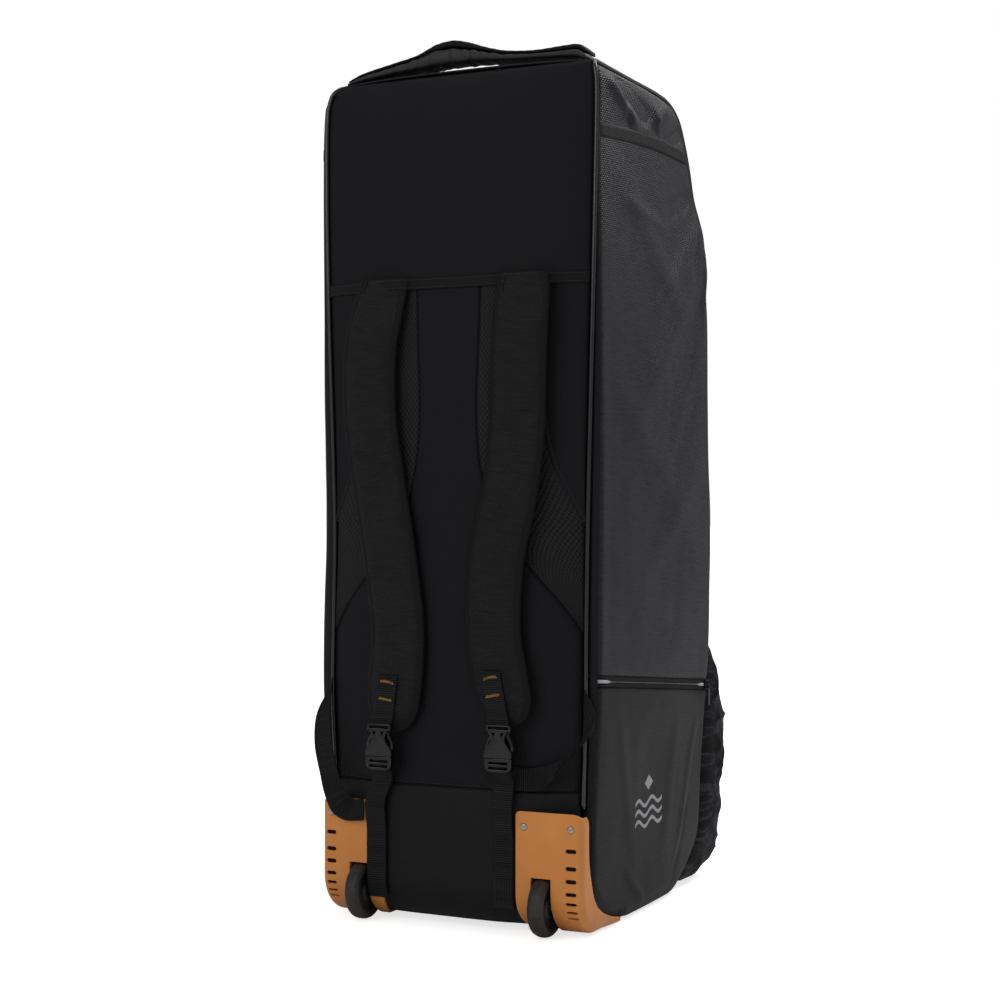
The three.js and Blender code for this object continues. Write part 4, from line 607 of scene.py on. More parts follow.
def printed_at(y, z):
    """A point on the pocket's cloth with its folds."""
    back, front = side_edges(z)
    point = Vector(side_point(1, (y - back) / (front - back), z, 0.3))
    point.x += pocket_folds(0, 0, point, INSIDE_EDGE)
    return point


def printed(name, at, step):
    on_bag(sewn(name, at, 1.5, step, ink, dip=0.15, turn=0.6, thick=0.3))


for k in range(3):
    def on_wave(u, v, k=k):
        rise = LINE_APART * (k - 1) + WAVE * math.sin(4 * math.pi * u) + LINE_WIDTH * (v - 0.5)
        return printed_at(PRINT_Y + PRINT_WIDTH * (u - 0.5), PRINT_Z + rise)

    printed(f"printed_wave_{k + 1}", on_wave, 1.2)
printed("printed_diamond", lambda u, v: printed_at(
    PRINT_Y + DIAMOND_WIDE * (u - v), PRINT_Z + DIAMOND_ABOVE + DIAMOND_HIGH * (u + v - 1)), 1.5)

# Seam strips: the flange of the piping's own tape, turned onto the side cloth beside the back seam.
FLANGE_STRIP_LOW, FLANGE_STRIP_HIGH, FLANGE_STRIP = 146, HEIGHT - 18, 4
for side, word in ((-1, "left"), (1, "right")):
    def on_side(u, v, side=side):
        z = FLANGE_STRIP_LOW + (FLANGE_STRIP_HIGH - FLANGE_STRIP_LOW) * v
        back, front = side_edges(z)
        return side_point(side, (0.3 + FLANGE_STRIP * u) / (front - back), z, 0.4)

    strip = sewn(f"piping_flange_{word}", on_side, 1.6, 5, tape_nylon, dip=0.8, turn=1.2, thick=0.5)
    on_bag(strip)

# Pocket zip: a nylon coil zip between two strips of polyester tape, sewn in as one band.
# The folded edges of the tape meet over the coil, and part at both ends, where it shows.
# The coil is drawn pale grey to near white: a light nylon coil, and painted glints where it shows.
COIL_WIRE, COIL_DEEP, COIL_WIDE = 0.45, 0.7, 1.9
COIL_STEPS, MAIN_COIL_STEPS, COIL_STEP_TURN = 1300, 3000, math.pi / 3
tape_cloth = woven("polyester_zip_tape", "#17171A", 0.8, 0.7, 0.12, 0.4)
# Painted glints: the coil's pale grey to near-white tone also stands in for the glints at the zip's ends
coil_with_painted_glints = mottled("nylon_coil_painted_glints", "#B8B8BE", "#E6E6EA", 900, roughness=0.35)[0]


def zip_lip(half):
    """The folded edge of the tape beside the coil, which parts towards both ends."""
    def z_at(u):
        parted = 2.6 * (1 - soft_step(0.03, 0.11, u)) + 2.2 * soft_step(0.86, 0.95, u)
        return zip_middle(u) + half * (0.5 + parted)
    return z_at


for half, word in ((-1, "low"), (1, "high")):
    lows, highs = (beside(zip_middle, half * ZIP_HEIGHT / 2), zip_lip(half))[::-half]
    on_strip = side_between(1, lows, highs, out=0.2)
    strip = sewn(f"zip_band_{word}", on_strip, 3, 1.2, tape_cloth, dip=0.9, turn=1.6, thick=0.8)
    on_bag(strip, *(["zip_tape"] if half < 0 else []))


def tube(name, points, radius, material, sides=8):
    """A round bar along points in millimetres."""
    line = [Vector(p) for p in points]
    rings, faces = [], []
    for k, point in enumerate(line):
        along = (line[min(k + 1, len(line) - 1)] - line[max(k - 1, 0)]).normalized()
        first = Vector((1, 0, 0)) - along * along.x
        first = first.normalized() if first.length > 1e-3 else Vector((0, 0, 1))
        second = along.cross(first)
        for i in range(sides):
            turn = 2 * math.pi * i / sides
            rings.append(point + first * radius * math.cos(turn) + second * radius * math.sin(turn))
    for k in range(len(line) - 1):
        for i in range(sides):
            a, b = k * sides + i, k * sides + (i + 1) % sides
            faces.append((a, b, b + sides, a + sides))
    faces.append(tuple(range(sides))[::-1])
    faces.append(tuple(range((len(line) - 1) * sides, len(line) * sides)))
    return mesh_object(name, rings, faces, material)


coil_points = []
for k in range(COIL_STEPS):
    across = 0.012 + 0.95 * k / COIL_STEPS
    shown = 1 - soft_step(0.05, 0.12, across) + soft_step(0.86, 0.93, across)
    x, y, z = side_point(1, across, zip_middle(across), 2.0 * shown - 2.6)
    turn = k * COIL_STEP_TURN
    coil_points.append((x + COIL_DEEP * math.cos(turn), y, z + COIL_WIDE * math.sin(turn)))
on_bag(tube("zip_coil", coil_points, COIL_WIRE, coil_with_painted_glints, sides=5))

# Low back panel and base: heavy coated polyester that takes the wear, one piece down the back
# and round the heel, and a second under the bag, both cut round the two wheel wells.
# The coating fills the weave, so it is smoother than the sides.
KICK_STRAIGHT = KICK_SEAM - HEEL_START
WHEEL_X, WELL_HALF, WELL_BACK, WELL_TOP = 114, 12, 26, 69
SHELL = 2.4
coated = woven("coated_polyester_900_denier", "#121214", 1.2, 0.5, 0.18, 0.35, shade=0.25)


def solid_box(low, high):
    """A plain box that cuts or joins another piece, from its low and high corners in millimetres."""
    corners = [(x, y, z) for x in (low[0], high[0]) for y in (low[1], high[1]) for z in (low[2], high[2])]
    sides = ((0, 1, 3, 2), (4, 6, 7, 5), (0, 4, 5, 1), (2, 3, 7, 6), (0, 2, 6, 4), (1, 5, 7, 3))
    return mesh_object("cutter", corners, sides, coated, smooth=False)


def bake_modifiers(target):
    """Makes the result of a piece's modifiers its own mesh."""
    final = bpy.data.meshes.new_from_object(target.evaluated_get(bpy.context.evaluated_depsgraph_get()))
    target.modifiers.clear()
    target.data = final


def apply_cut(target, cutter, operation="DIFFERENCE"):
    """Cuts or joins another mesh into a piece, and removes that mesh."""
    cutter.data.materials[0] = target.data.materials[0]
    modifier = target.modifiers.new("cut", "BOOLEAN")
    modifier.operation = operation
    modifier.solver = "EXACT"
    modifier.object = cutter
    bake_modifiers(target)
    bpy.data.objects.remove(cutter, do_unlink=True)


def kick_point(x, along):
    turn = max(along - KICK_STRAIGHT, 0) / HEEL
    z = KICK_SEAM - min(along, KICK_STRAIGHT) - HEEL * math.sin(turn)
    return x, back_y(x, max(z, HEEL_START)) + HEEL * (1 - math.cos(turn)), z


def kick_at(u, v):
    along = (KICK_STRAIGHT + HEEL * math.pi / 2) * v
    z = kick_point(0, along)[2]
    left = panel_edge(-1, z)
    return kick_point(left + (panel_edge(1, z) - left) * u, along)


def base_at(u, v):
    left = panel_edge(-1, 0)
    x = left + (panel_edge(1, 0) - left) * u
    heel = back_y(x, HEEL_START) + HEEL
    y = heel + (BASE_START - heel) * v
    return x, y, base_lift(y) + 0.2


kick = sewn("kick_cloth", kick_at, 4, 4, coated, back_relief(31), inside=(0, 100, 300), open_edges=("high",))
base = sewn("base_cloth", base_at, 5, 5, coated, inside=(0, 150, 400), open_edges=("low", "high"), dip=0.6)
for piece, node in ((kick, "kick_panel"), (base, "base_panel")):
    for middle in (-WHEEL_X, WHEEL_X):
        reach = WELL_HALF + SHELL + 0.2
        low = (middle - reach, -60, -2)
        high = (middle + reach, WELL_BACK + SHELL + 0.2, WELL_TOP + SHELL + 0.2)
        apply_cut(piece, solid_box(low, high))
    on_bag(piece, node)

# Top and front: the same ballistic nylon over the top, and the smooth nylon down the front.
# Behind the bag nothing carries load, so the front is slack and lightly creased.


def girth_point(across, girth):
    point = through(girth_points, girth)
    ahead, behind = through(girth_points, min(girth + 5e-4, 1)), through(girth_points, max(girth - 5e-4, 0))
    tangent = (ahead - behind).normalized()
    normal = Vector((0, -tangent.z, tangent.y)).normalized()
    left, right = panel_edge(-1, point.z), panel_edge(1, point.z)
    crown = FRONT_CROWN * point.x * (1 - abs(2 * across - 1) ** 3)
    return Vector((left + (right - left) * across, point.y, max(point.z, 0.3))) + normal * crown


def girth_between(low_row, high_row):
    low, high = girth_of(low_row), girth_of(high_row)
    return lambda u, v: girth_point(u, low + (high - low) * v)


def top_at(u, v):
    point = girth_point(u, v * girth_of(TOP_SEAM_ROW))
    point.y += max(1 - v * 4, 0) * (back_y(point.x, HEIGHT - 0.5) + 1.5)
    return point


def front_relief(seed, height):
    return lambda u, v, point, edge: (
        creases(point, 80, height, seed) * soft_step(0, 25, edge)
        + creases(point, 26, height / 4, seed + 3) * soft_step(2, 14, edge))


front_lift = front_relief(43, 3.0)
on_bag(sewn("top_cloth", top_at, 4, 4, side_nylon, front_relief(41, 2.0), open_edges=("low",)), "top_panel")
front = sewn("front_cloth", girth_between(TOP_SEAM_ROW, FRONT_END_ROW), 5, 5, back_nylon, front_lift)
on_bag(front, "front_panel")
front_low = sewn("front_foot_cloth", girth_between(FRONT_END_ROW, BASE_START_ROW), 5, 4, back_nylon)
on_bag(front_low, "front_foot")

# Main zip: the long opening of the front, an upturned U of a nylon coil between two tape strips.
# It is sewn flat on the cloth and stops above the pocket on both sides.
MAIN_ZIP_WIDTH, MAIN_ZIP_SPREAD, MAIN_ZIP_ROUND = 28, 105, 70
MAIN_ZIP_LOW, MAIN_ZIP_HIGH, MAIN_ZIP_OUT = 329, 775, 1.2
MAIN_ZIP_STRAIGHT = MAIN_ZIP_HIGH - MAIN_ZIP_ROUND
main_zip_half = [
    (-MAIN_ZIP_SPREAD, MAIN_ZIP_LOW + (MAIN_ZIP_STRAIGHT - MAIN_ZIP_LOW) * k / 24) for k in range(24)]
main_zip_half += [(MAIN_ZIP_ROUND * (k / 10) ** 2 - MAIN_ZIP_SPREAD,
                   MAIN_ZIP_HIGH - MAIN_ZIP_ROUND * (1 - k / 10) ** 2) for k in range(11)]
main_zip_line = [Vector((x, 0, z)) for x, z in main_zip_half]
main_zip_line += [Vector((-x, 0, z)) for x, z in main_zip_half[::-1]]


def on_front(x, z, out):
    """A point on the front's cloth with its creases, or so far off it."""
    left, right = panel_edge(-1, z), panel_edge(1, z)
    across = (x - left) / (right - left)
    point = Vector((x, front_y(z) + FRONT_CROWN * (1 - abs(2 * across - 1) ** 3), z))
    return point + Vector((0, front_lift(across, 0, point, INSIDE_EDGE) + out, 0))


def beside_main_zip(t, away, out):
    place = through(main_zip_line, t)
    along = through(main_zip_line, min(t + 1e-3, 1)) - through(main_zip_line, max(t - 1e-3, 0))
    along = along.normalized()
    return on_front(place.x - along.z * away, place.z + along.x * away, out)


for half, word in ((-1, "outer"), (1, "inner")):
    def on_strip(u, v, half=half):
        return beside_main_zip(v, half * (0.9 + (MAIN_ZIP_WIDTH / 2 - 0.9) * u), MAIN_ZIP_OUT)

    strip = sewn(f"main_zip_band_{word}", on_strip, 3, 5, tape_cloth, dip=0.9, turn=1.6, thick=0.8)
    on_bag(strip, *(["main_zip"] if half < 0 else []))
coil_points = []
for k in range(MAIN_COIL_STEPS):
    turn = k * COIL_STEP_TURN
    out = MAIN_ZIP_OUT + 0.1 + COIL_DEEP * math.cos(turn)
    coil_points.append(beside_main_zip(k / (MAIN_COIL_STEPS - 1), COIL_WIDE * math.sin(turn), out))
on_bag(tube("main_zip_coil", coil_points, COIL_WIRE, coil_with_painted_glints, sides=5))

# Front pocket: a wide gathered pocket low on the front, of a thinner nylon printed with a faint
# generic camouflage in near blacks. It is slack and crumpled, with long creases across it.
# Rows down the pocket: share, height at the seam, and how far out and how high its face is
POCKET_ROWS = (
    (0.00, 0.316, 1.048, 0.318), (0.10, 0.290, 1.085, 0.295), (0.20, 0.262, 1.105, 0.266),
    (0.30, 0.232, 1.143, 0.235), (0.40, 0.198, 1.178, 0.203), (0.50, 0.163, 1.186, 0.170),
    (0.60, 0.128, 1.138, 0.130), (0.70, 0.098, 1.160, 0.096), (0.80, 0.062, 1.150, 0.055),
    (0.88, 0.044, 1.120, 0.026), (0.94, 0.028, 0.985, 0.010), (1.00, 0.015, 0.820, 0.006),
)
POCKET_CORNER, POCKET_SIDE_PUFF = 0.24, 23
# Waves of the cloth: depth, waves across, waves down and start
POCKET_WAVES = ((4.5, 2.3, 3.2, 0.4), (3.0, -3.6, 5.1, 1.9), (2.2, 5.2, 7.3, 3.0))
# Print: from which noise value on, and the tone of that patch
CAMOUFLAGE = ((0.45, 0.22), (0.50, 0.85), (0.56, 0.30))


def pocket_at(u, down):
    seam_z, far_y, far_z = (among(POCKET_ROWS, down, column) for column in (1, 2, 3))
    seam_z, far_y, far_z = seam_z * HEIGHT, far_y * DEPTH, far_z * HEIGHT
    turn = math.pi * (1 - u)
    across = math.copysign(abs(math.cos(turn)) ** POCKET_CORNER, math.cos(turn))
    full = max(math.sin(turn), 0) ** POCKET_CORNER
    seam_y = front_y(seam_z) + clear_of(front_y, seam_z) - EDGE
    y, z = seam_y + (far_y - seam_y) * full, seam_z + (far_z - seam_z) * full
    wave = sum(deep * math.sin(2 * math.pi * (a * u + d * down / 2) + start)
               for deep, a, d, start in POCKET_WAVES)
    calm = full * math.sin(math.pi * min(down * 1.02, 1))
    puff = POCKET_SIDE_PUFF * max(math.sin(math.pi * down), 0) ** 0.6 * full
    return across * (half_width(across, seam_z) + puff), y + EDGE + 0.3 + wave * calm, max(z, 0.3)


def pocket_relief(u, v, point, edge):
    sharp = 1 - abs(noise.noise(Vector((point.x / 60 + 5, point.z / 34, point.y / 60)))) * 2
    fine = 1 - abs(noise.noise(Vector((point.x / 26 + 9, point.z / 15, point.y / 30)))) * 2
    return (max(sharp, 0) ** 3 * 3.4 + max(fine, 0) ** 3 * 0.6 - 1.6) * soft_step(0, 22, edge)


camouflage = woven("printed_polyester_300_denier", "#17171B", 0.9, 0.5, 0.12, 0.25, shade=0.15)
tree = camouflage.node_tree
shader = tree.nodes["Principled BSDF"]
plain = shader.inputs["Base Color"].links[0].from_socket
print_uv = add_node(tree, "ShaderNodeUVMap", uv_map="cloth").outputs[0]
blots = {"Vector": print_uv, "Scale": 20, "Detail": 4, "Distortion": 2.4}
blot = add_node(tree, "ShaderNodeTexNoise", blots).outputs["Fac"]
steps = add_node(tree, "ShaderNodeValToRGB", {"Fac": blot})
steps.color_ramp.interpolation = "CONSTANT"
for place, grey in CAMOUFLAGE:
    stop = steps.color_ramp.elements.new(place)
    stop.color = (grey, grey, grey * 1.05, 1)
steps.color_ramp.elements[0].color = (0.10, 0.10, 0.11, 1)
steps.color_ramp.elements[-1].color = (0.7, 0.7, 0.74, 1)
inks = {0: 1.0, 6: plain, 7: steps.outputs["Color"]}
inked = add_node(tree, "ShaderNodeMix", inks, data_type="RGBA", blend_type="MULTIPLY").outputs[2]
bright = add_node(tree, "ShaderNodeVectorMath", {0: inked, "Scale": 3.6}, operation="SCALE")
tree.links.new(bright.outputs[0], shader.inputs["Base Color"])
pocket = sewn("front_pocket_cloth", pocket_at, 3.5, 3.5, camouflage, pocket_relief)
on_bag(pocket, "front_pocket")

# Piping: a 5 mm cord in glossy black vinyl, sewn into both long seams and round the top and front.
# Its smooth round face catches the lamps as one thin bright line.
GUARD_TOP = 138.7
PIPING_START = GUARD_TOP + 3
PIPING_STEPS, CORNER_STEPS = 160, 8
vinyl, tree, shader, scuff = mottled("extruded_vinyl", "#0C0C0D", "#1E1E20", 60, 3, gloss=0.7)
varied = add_node(tree, "ShaderNodeMapRange", {"Value": scuff, "To Min": 0.16, "To Max": 0.3}).outputs[0]
tree.links.new(varied, shader.inputs["Roughness"])
piping_end = math.floor(girth_of(BASE_START_ROW) * GIRTH_STEPS) - 20
over_top = [p for p in girth_line if p.y >= SHOULDER][:piping_end:3]
for side, word in ((-1, "left"), (1, "right")):
    line = []
    for k in range(PIPING_STEPS):
        z = PIPING_START + (HEIGHT - SHOULDER - PIPING_START) * k / PIPING_STEPS
        line.append((side * half_width(side, z), 0, z))
    for k in range(CORNER_STEPS):
        turn = k / CORNER_STEPS * math.pi / 2
        z = HEIGHT - SHOULDER + SHOULDER * math.sin(turn)
        line.append((side * half_width(side, z), SHOULDER * (1 - math.cos(turn)), z))
    line += [(side * half_width(side, p.z), p.y, max(p.z, PIPING / 2)) for p in over_top if p.z > 0.5]
    on_bag(tube(f"piping_cord_{word}", line, PIPING / 2, vinyl, sides=12), f"piping_{word}")

# Tape across the back: flat 13 mm polyester webbing that covers the ends of the shoulder straps
# and the seam under the upper panel. It is stitched along both edges with black thread.
RIB = 2.6
# Where the pads pass under the tape, how far it stands off the back, and how far it bulges there
PAD_TOPS, BAND_OFF, BAND_BULGE = (-78, 95), 2.0, 7.5
STITCH_LINE = KICK_SEAM + 3
narrow_webbing = woven("polyester_webbing", "#161617", 1.8, 0.6, 0.14, 0.5, shade=0.5)
thread = mottled("bonded_polyester_thread", "#161617", "#3A3A3D", 1400)[0]


def stitches(name, line, out, material, length=3.0, gap=1.1, width=0.7):
    """A row of stitches along points in millimetres; out is the direction away from the cloth."""
    line, out = [Vector(p) for p in line], Vector(out)
    points, faces = [], []
    place, k = 0.0, 0
    lengths = [(b - a).length for a, b in zip(line, line[1:])]
    total = sum(lengths)

    def at(distance):
        distance = min(max(distance, 0), total)
        i = 0
        while i < len(lengths) - 1 and distance > lengths[i]:
            distance -= lengths[i]
            i += 1
        return line[i].lerp(line[i + 1], distance / max(lengths[i], 1e-6))

    while place + length <= total:
        first, last = at(place), at(place + length)
        along = (last - first).normalized()
        across = along.cross(out).normalized()
        base = len(points)
        points.append(first)
        for share, size in ((0.18, 0.8), (0.5, 1.0), (0.82, 0.8)):
            middle = first.lerp(last, share)
            for i in range(5):
                turn = 2 * math.pi * i / 5
                around = across * width / 2 * size * math.cos(turn)
                points.append(middle + around + out * width / 2 * size * (0.6 + math.sin(turn)))
        points.append(last)
        for i in range(5):
            j = (i + 1) % 5
            faces.append((base, base + 1 + j, base + 1 + i))
            for ring in (base + 1, base + 6):
                faces.append((ring + i, ring + j, ring + 5 + j, ring + 5 + i))
            faces.append((base + 11 + i, base + 11 + j, base + 16))
        place += length + gap
    on_bag(mesh_object(name, points, faces, material))


def band_at(u, v):
    z = BAND_LOW + (BAND_HIGH - BAND_LOW) * v
    x = panel_edge(-1, z) + (panel_edge(1, z) - panel_edge(-1, z)) * u
    over_pads = sum(1 - soft_step(24, 36, abs(x - middle)) for middle in PAD_TOPS)
    return x, back_y(x, z) - BAND_OFF - BAND_BULGE * over_pads, z


band = sewn("strap_tape", band_at, 3, 1.5, narrow_webbing,
            dip=0.8, turn=1.5, thick=1.4, inside=(0, 300, 700))
on_bag(band, "strap_band")
for z, word in ((BAND_LOW + 2, "low"), (BAND_HIGH - 2, "high")):
    share = (z - BAND_LOW) / (BAND_HIGH - BAND_LOW)
    line = [Vector(band_at(k / 80, share)) - Vector((0, 0.1, 0)) for k in range(1, 80)]
    stitches(f"band_stitches_{word}", line, (0, -1, 0), thread)
line = [(x, back_y(x, STITCH_LINE) - 0.1, STITCH_LINE) for x in range(-148, 149, 6)]
stitches("low_seam_stitches", line, (0, -1, 0), thread)

# Shoulder straps: contoured pads of 12 mm foam between two layers of textured nylon, with a
# bias tape folded over the whole edge. The foam is soft, so the faces are full in the middle,
# pinch down to the tape, and crease across where the strap bends.
PAD_WIDTH, PAD_THICK, PAD_EDGE, PAD_CLEAR, BINDING = 59, 13, 5, 7, 7
STRAP_ROWS = {
    "left": ((0.232, -0.405, 0.30), (0.240, -0.402, 0.66), (0.254, -0.393, 0.90), (0.278, -0.378, 1.00),
             (0.345, -0.352, 1.00), (0.429, -0.412, 1.00), (0.515, -0.497, 1.00), (0.585, -0.564, 1.00),
             (0.633, -0.582, 1.00), (0.681, -0.570, 1.00), (0.728, -0.516, 0.96), (0.759, -0.470, 0.90)),
    "right": ((0.246, 0.500, 0.30), (0.254, 0.490, 0.66), (0.268, 0.465, 0.90), (0.292, 0.421, 1.00),
              (0.348, 0.367, 1.00), (0.430, 0.388, 1.00), (0.514, 0.491, 1.00), (0.582, 0.539, 1.00),
              (0.627, 0.545, 1.00), (0.672, 0.552, 1.00), (0.728, 0.570, 0.96), (0.759, 0.577, 0.90)),
}
# Creases across the pads: strap, height, rise across, half width and depth in millimetres
PAD_CREASES = (
    ("left", 545, 0.35, 4.0, 2.6), ("left", 528, -0.25, 3.5, 3.8), ("left", 512, 0.5, 4.0, 3.4),
    ("left", 498, 0.1, 5.0, 2.6), ("left", 400, -0.4, 6.0, 2.4), ("left", 340, 0.6, 5.0, 2.0),
    ("right", 576, 0.15, 3.0, 3.6), ("right", 560, -0.5, 5.0, 2.4), ("right", 470, 0.3, 7.0, 2.0),
    ("right", 345, -0.4, 6.0, 2.0), ("right", 640, 0.4, 7.0, 1.8), ("left", 640, -0.3, 7.0, 1.8),
)
textured = woven("textured_nylon_600_denier", "#1A1A1C", 2.2, 0.6, 0.16, 0.7, shade=0.5, slub=0.16)
bias_tape = woven("bias_tape", "#121213", 1.2, 0.6, 0.14, 0.4, shade=0.3)


def lofted(name, rings, material, closed=True):
    """A skin over rings of points in millimetres, with an end face on each end ring."""
    count = len(rings[0])
    around = [0.0]
    middle = rings[len(rings) // 2]
    for a, b in zip(middle, middle[1:]):
        around.append(around[-1] + (b - a).length / 1000)
    points, uvs, faces, run = [], [], [], 0.0
    for j, ring in enumerate(rings):
        if j:
            run += (ring[0] - rings[j - 1][0]).length / 1000
        points.extend(ring)
        uvs.extend((around[i], run) for i in range(count))
    volume = 0.0
    for j in range(len(rings) - 1):
        for i in range(count):
            a, b = j * count + i, j * count + (i + 1) % count
            quad = (a, b, b + count, a + count)
            faces.append(quad)
            volume += points[quad[0]].dot(points[quad[1]].cross(points[quad[2]]))
            volume += points[quad[0]].dot(points[quad[2]].cross(points[quad[3]]))
    faces.append(tuple(range(count))[::-1])
    faces.append(tuple(range((len(rings) - 1) * count, len(rings) * count)))
    if volume < 0:
        faces = [face[::-1] for face in faces]
    return mesh_object(name, points, faces, material, uvs)


def pad_stations(rows, steps):
    places = [(x * WIDTH / 2, wide, up * HEIGHT) for up, x, wide in rows]
    made = []
    for k in range(steps + 1):
        t = k / steps
        place = through(places, t)
        ahead, behind = through(places, min(t + 1e-3, 1)), through(places, max(t - 1e-3, 0))
        along = Vector((ahead.x - behind.x, 0, ahead.z - behind.z)).normalized()
        span = (BAND_LOW - place.z) / (BAND_LOW - places[0][2])
        thick = min(1, 0.45 + span * 6) * min(1, 0.6 + (1 - span) * 9)
        y = back_y(0, place.z) - PAD_CLEAR + (1 - thick) * PAD_THICK * 0.35
        level = soft_step(BAND_LOW - 45, BAND_LOW, place.z)
        across = Vector((along.z, 0, -along.x)).lerp(Vector((1, 0, -0.02)), level).normalized()
        made.append((Vector((place.x, y, place.z)), across, place.y * PAD_WIDTH / 2, thick))
    return made


def pad_crease(height, s, crease):
    """Depth of one crease at a height and so far across; it fades towards one edge."""
    _, z, rise, wide, deep = crease
    fade = soft_step(-30, 20, s * (1 if rise > 0 else -1))
    return deep * math.exp(-((height - z - rise * s) / wide) ** 2) * fade


PAD_STATIONS, PAD_COLUMNS = 150, 16
for word, rows in STRAP_ROWS.items():
    stations = pad_stations(rows, PAD_STATIONS)
    seed = 50 if word == "left" else 60
    rings = []
    for place, across, half, thick in stations:
        ring = []
        full = PAD_THICK * thick / 2
        for front in (1, -1):
            for i in range(PAD_COLUMNS + 1):
                s = front * (2 * half * i / PAD_COLUMNS - half)
                room = half - abs(s)
                body = PAD_EDGE / 2 + (full - PAD_EDGE / 2) * quarter(room, min(17, half * 0.7))
                where = place + across * s
                fold = noise.noise(Vector((s / 70 + seed, 0, where.z / 13))) * 1.5
                fold += noise.noise(Vector((s / 30 + seed, 2, where.z / 30))) * 1.3
                fold -= sum(pad_crease(where.z, s, crease) for crease in PAD_CREASES if crease[0] == word)
                body += fold * soft_step(3, 14, room) * (1 if front > 0 else 0.5)
                ring.append(where + Vector((0, -front * body, 0)))
        rings.append(ring)
    pad = lofted(f"shoulder_pad_{word}", rings, textured)
    on_bag(pad, f"strap_pad_{word}")

    edge = [(place - across * half, thick) for place, across, half, thick in stations[::-1]]
    edge += [(place + across * half, thick) for place, across, half, thick in stations[1:]]
    edge = edge[:-1]
    tape_rings, row_front = [], []
    for k, (point, thick) in enumerate(edge):
        ahead, behind = edge[min(k + 2, len(edge) - 1)][0], edge[max(k - 2, 0)][0]
        lip = 1.9 * max(thick - 0.45, 0) / 0.55
        along = (ahead - behind).normalized()
        out = Vector((along.z, 0, -along.x)).normalized()
        ripple = 0.25 * math.sin(k * 1.9) + 0.3 * noise.noise(point / 9)
        bulge = PAD_EDGE / 2 + 0.5
        hem = 1.0 - BINDING
        outside = [(hem, bulge + lip), (-2.5, bulge + lip / 2), (1.5, bulge), (3.4, bulge * 0.7)]
        inside = [(hem, bulge + lip - 1), (-2.5, bulge + lip / 2 - 1), (0.5, bulge - 1)]
        section = [(s, -d) for s, d in outside] + [(4.1, 0)] + outside[::-1]
        section += inside + [(2.6, 0)] + [(s, -d) for s, d in inside[::-1]]
        rippled = [(s, d + ripple if abs(d) > 1 else d) for s, d in section]
        tape_rings.append([point + out * (s + 0.5) + Vector((0, d, 0)) for s, d in rippled])
        row_front.append(point - out * (BINDING - 3.0) + Vector((0, -bulge - lip * 0.8, 0)))
    tape = lofted(f"bias_binding_{word}", tape_rings, bias_tape)
    on_bag(tape, f"strap_binding_{word}")
    stitches(f"binding_stitches_{word}", row_front, (0, -1, 0), thread, length=2.6, gap=1.0, width=0.55)

# Webbing: 25 mm ribbed polyester straps, with cross ribs about 2.6 mm apart and tight selvedges.
# A short tab sewn to each pad holds the buckle, a longer piece runs down to the base, and a
# carrying loop stands off each side. Gold bar tacks hold the tabs, and a box stitch the right strap's low end.
WEBBING, WEBBING_THICK = 25, 1.6
# Across the webbing: share, share of half the thickness, and whether the cross ribs show
WEBBING_SECTION = (
    (0.0, 0.28, 0), (0.04, 1.08, 0), (0.09, 0.92, 1), (0.3, 0.92, 1),
    (0.7, 0.92, 1), (0.91, 0.92, 1), (0.96, 1.08, 0), (1.0, 0.28, 0),
)
BUCKLE_WIDTH, BUCKLE_THICK, SOCKET_LENGTH, PLUG_LENGTH = 33, 11, 36, 16
WEBBING_ROWS = {
    "left": {"tab_x": -0.404, "tab_up": 0.2945, "join_x": -0.455, "fastened": 0.2005},
    "right": {"tab_x": 0.365, "tab_up": 0.3045, "join_x": 0.446, "fastened": 0.2065},
}
# A loop's two edges: across, height and how far out for one, and the same for the other
LOOP_ROWS = {
    "right": (
        (0.957, 0.284, 3.6, 0.955, 0.258, 3.6), (1.050, 0.258, 12, 0.985, 0.233, 19),
        (1.052, 0.238, 22, 0.950, 0.216, 25), (0.960, 0.221, 26, 0.862, 0.198, 26),
        (0.836, 0.206, 24, 0.776, 0.181, 24), (0.697, 0.196, 21, 0.679, 0.169, 21),
        (0.557, 0.194, 22, 0.557, 0.167, 22), (0.376, 0.198, 25, 0.364, 0.172, 25),
        (0.303, 0.205, 25.8, 0.285, 0.179, 25.8)),
    "left": (
        (-0.980, 0.275, 3.4, -0.972, 0.287, 3.4), (-1.060, 0.244, 14, -0.952, 0.250, 14),
        (-1.042, 0.208, 25, -0.903, 0.214, 25),
        (-0.988, 0.172, 27.7, -0.848, 0.179, 27.7), (-0.945, 0.146, 28.3, -0.795, 0.156, 28.3),
        (-0.885, 0.127, 28.3, -0.751, 0.148, 28.3), (-0.790, 0.119, 28.3, -0.715, 0.145, 28.3),
        (-0.636, 0.120, 28.3, -0.636, 0.146, 28.3)),
}
# Painted shade: the webbing is painted dark between its ribs, for the shade in their grooves, beside the
# modelled ribs
ribbed = woven("ribbed_polyester_webbing", "#161617", RIB, 0.55, 0.16, 0.6, shade=0.85, ribs=True)
gold_thread = mottled("gold_polyester_thread", "#8A5A24", "#E0A95A", 1200, roughness=0.45)[0]


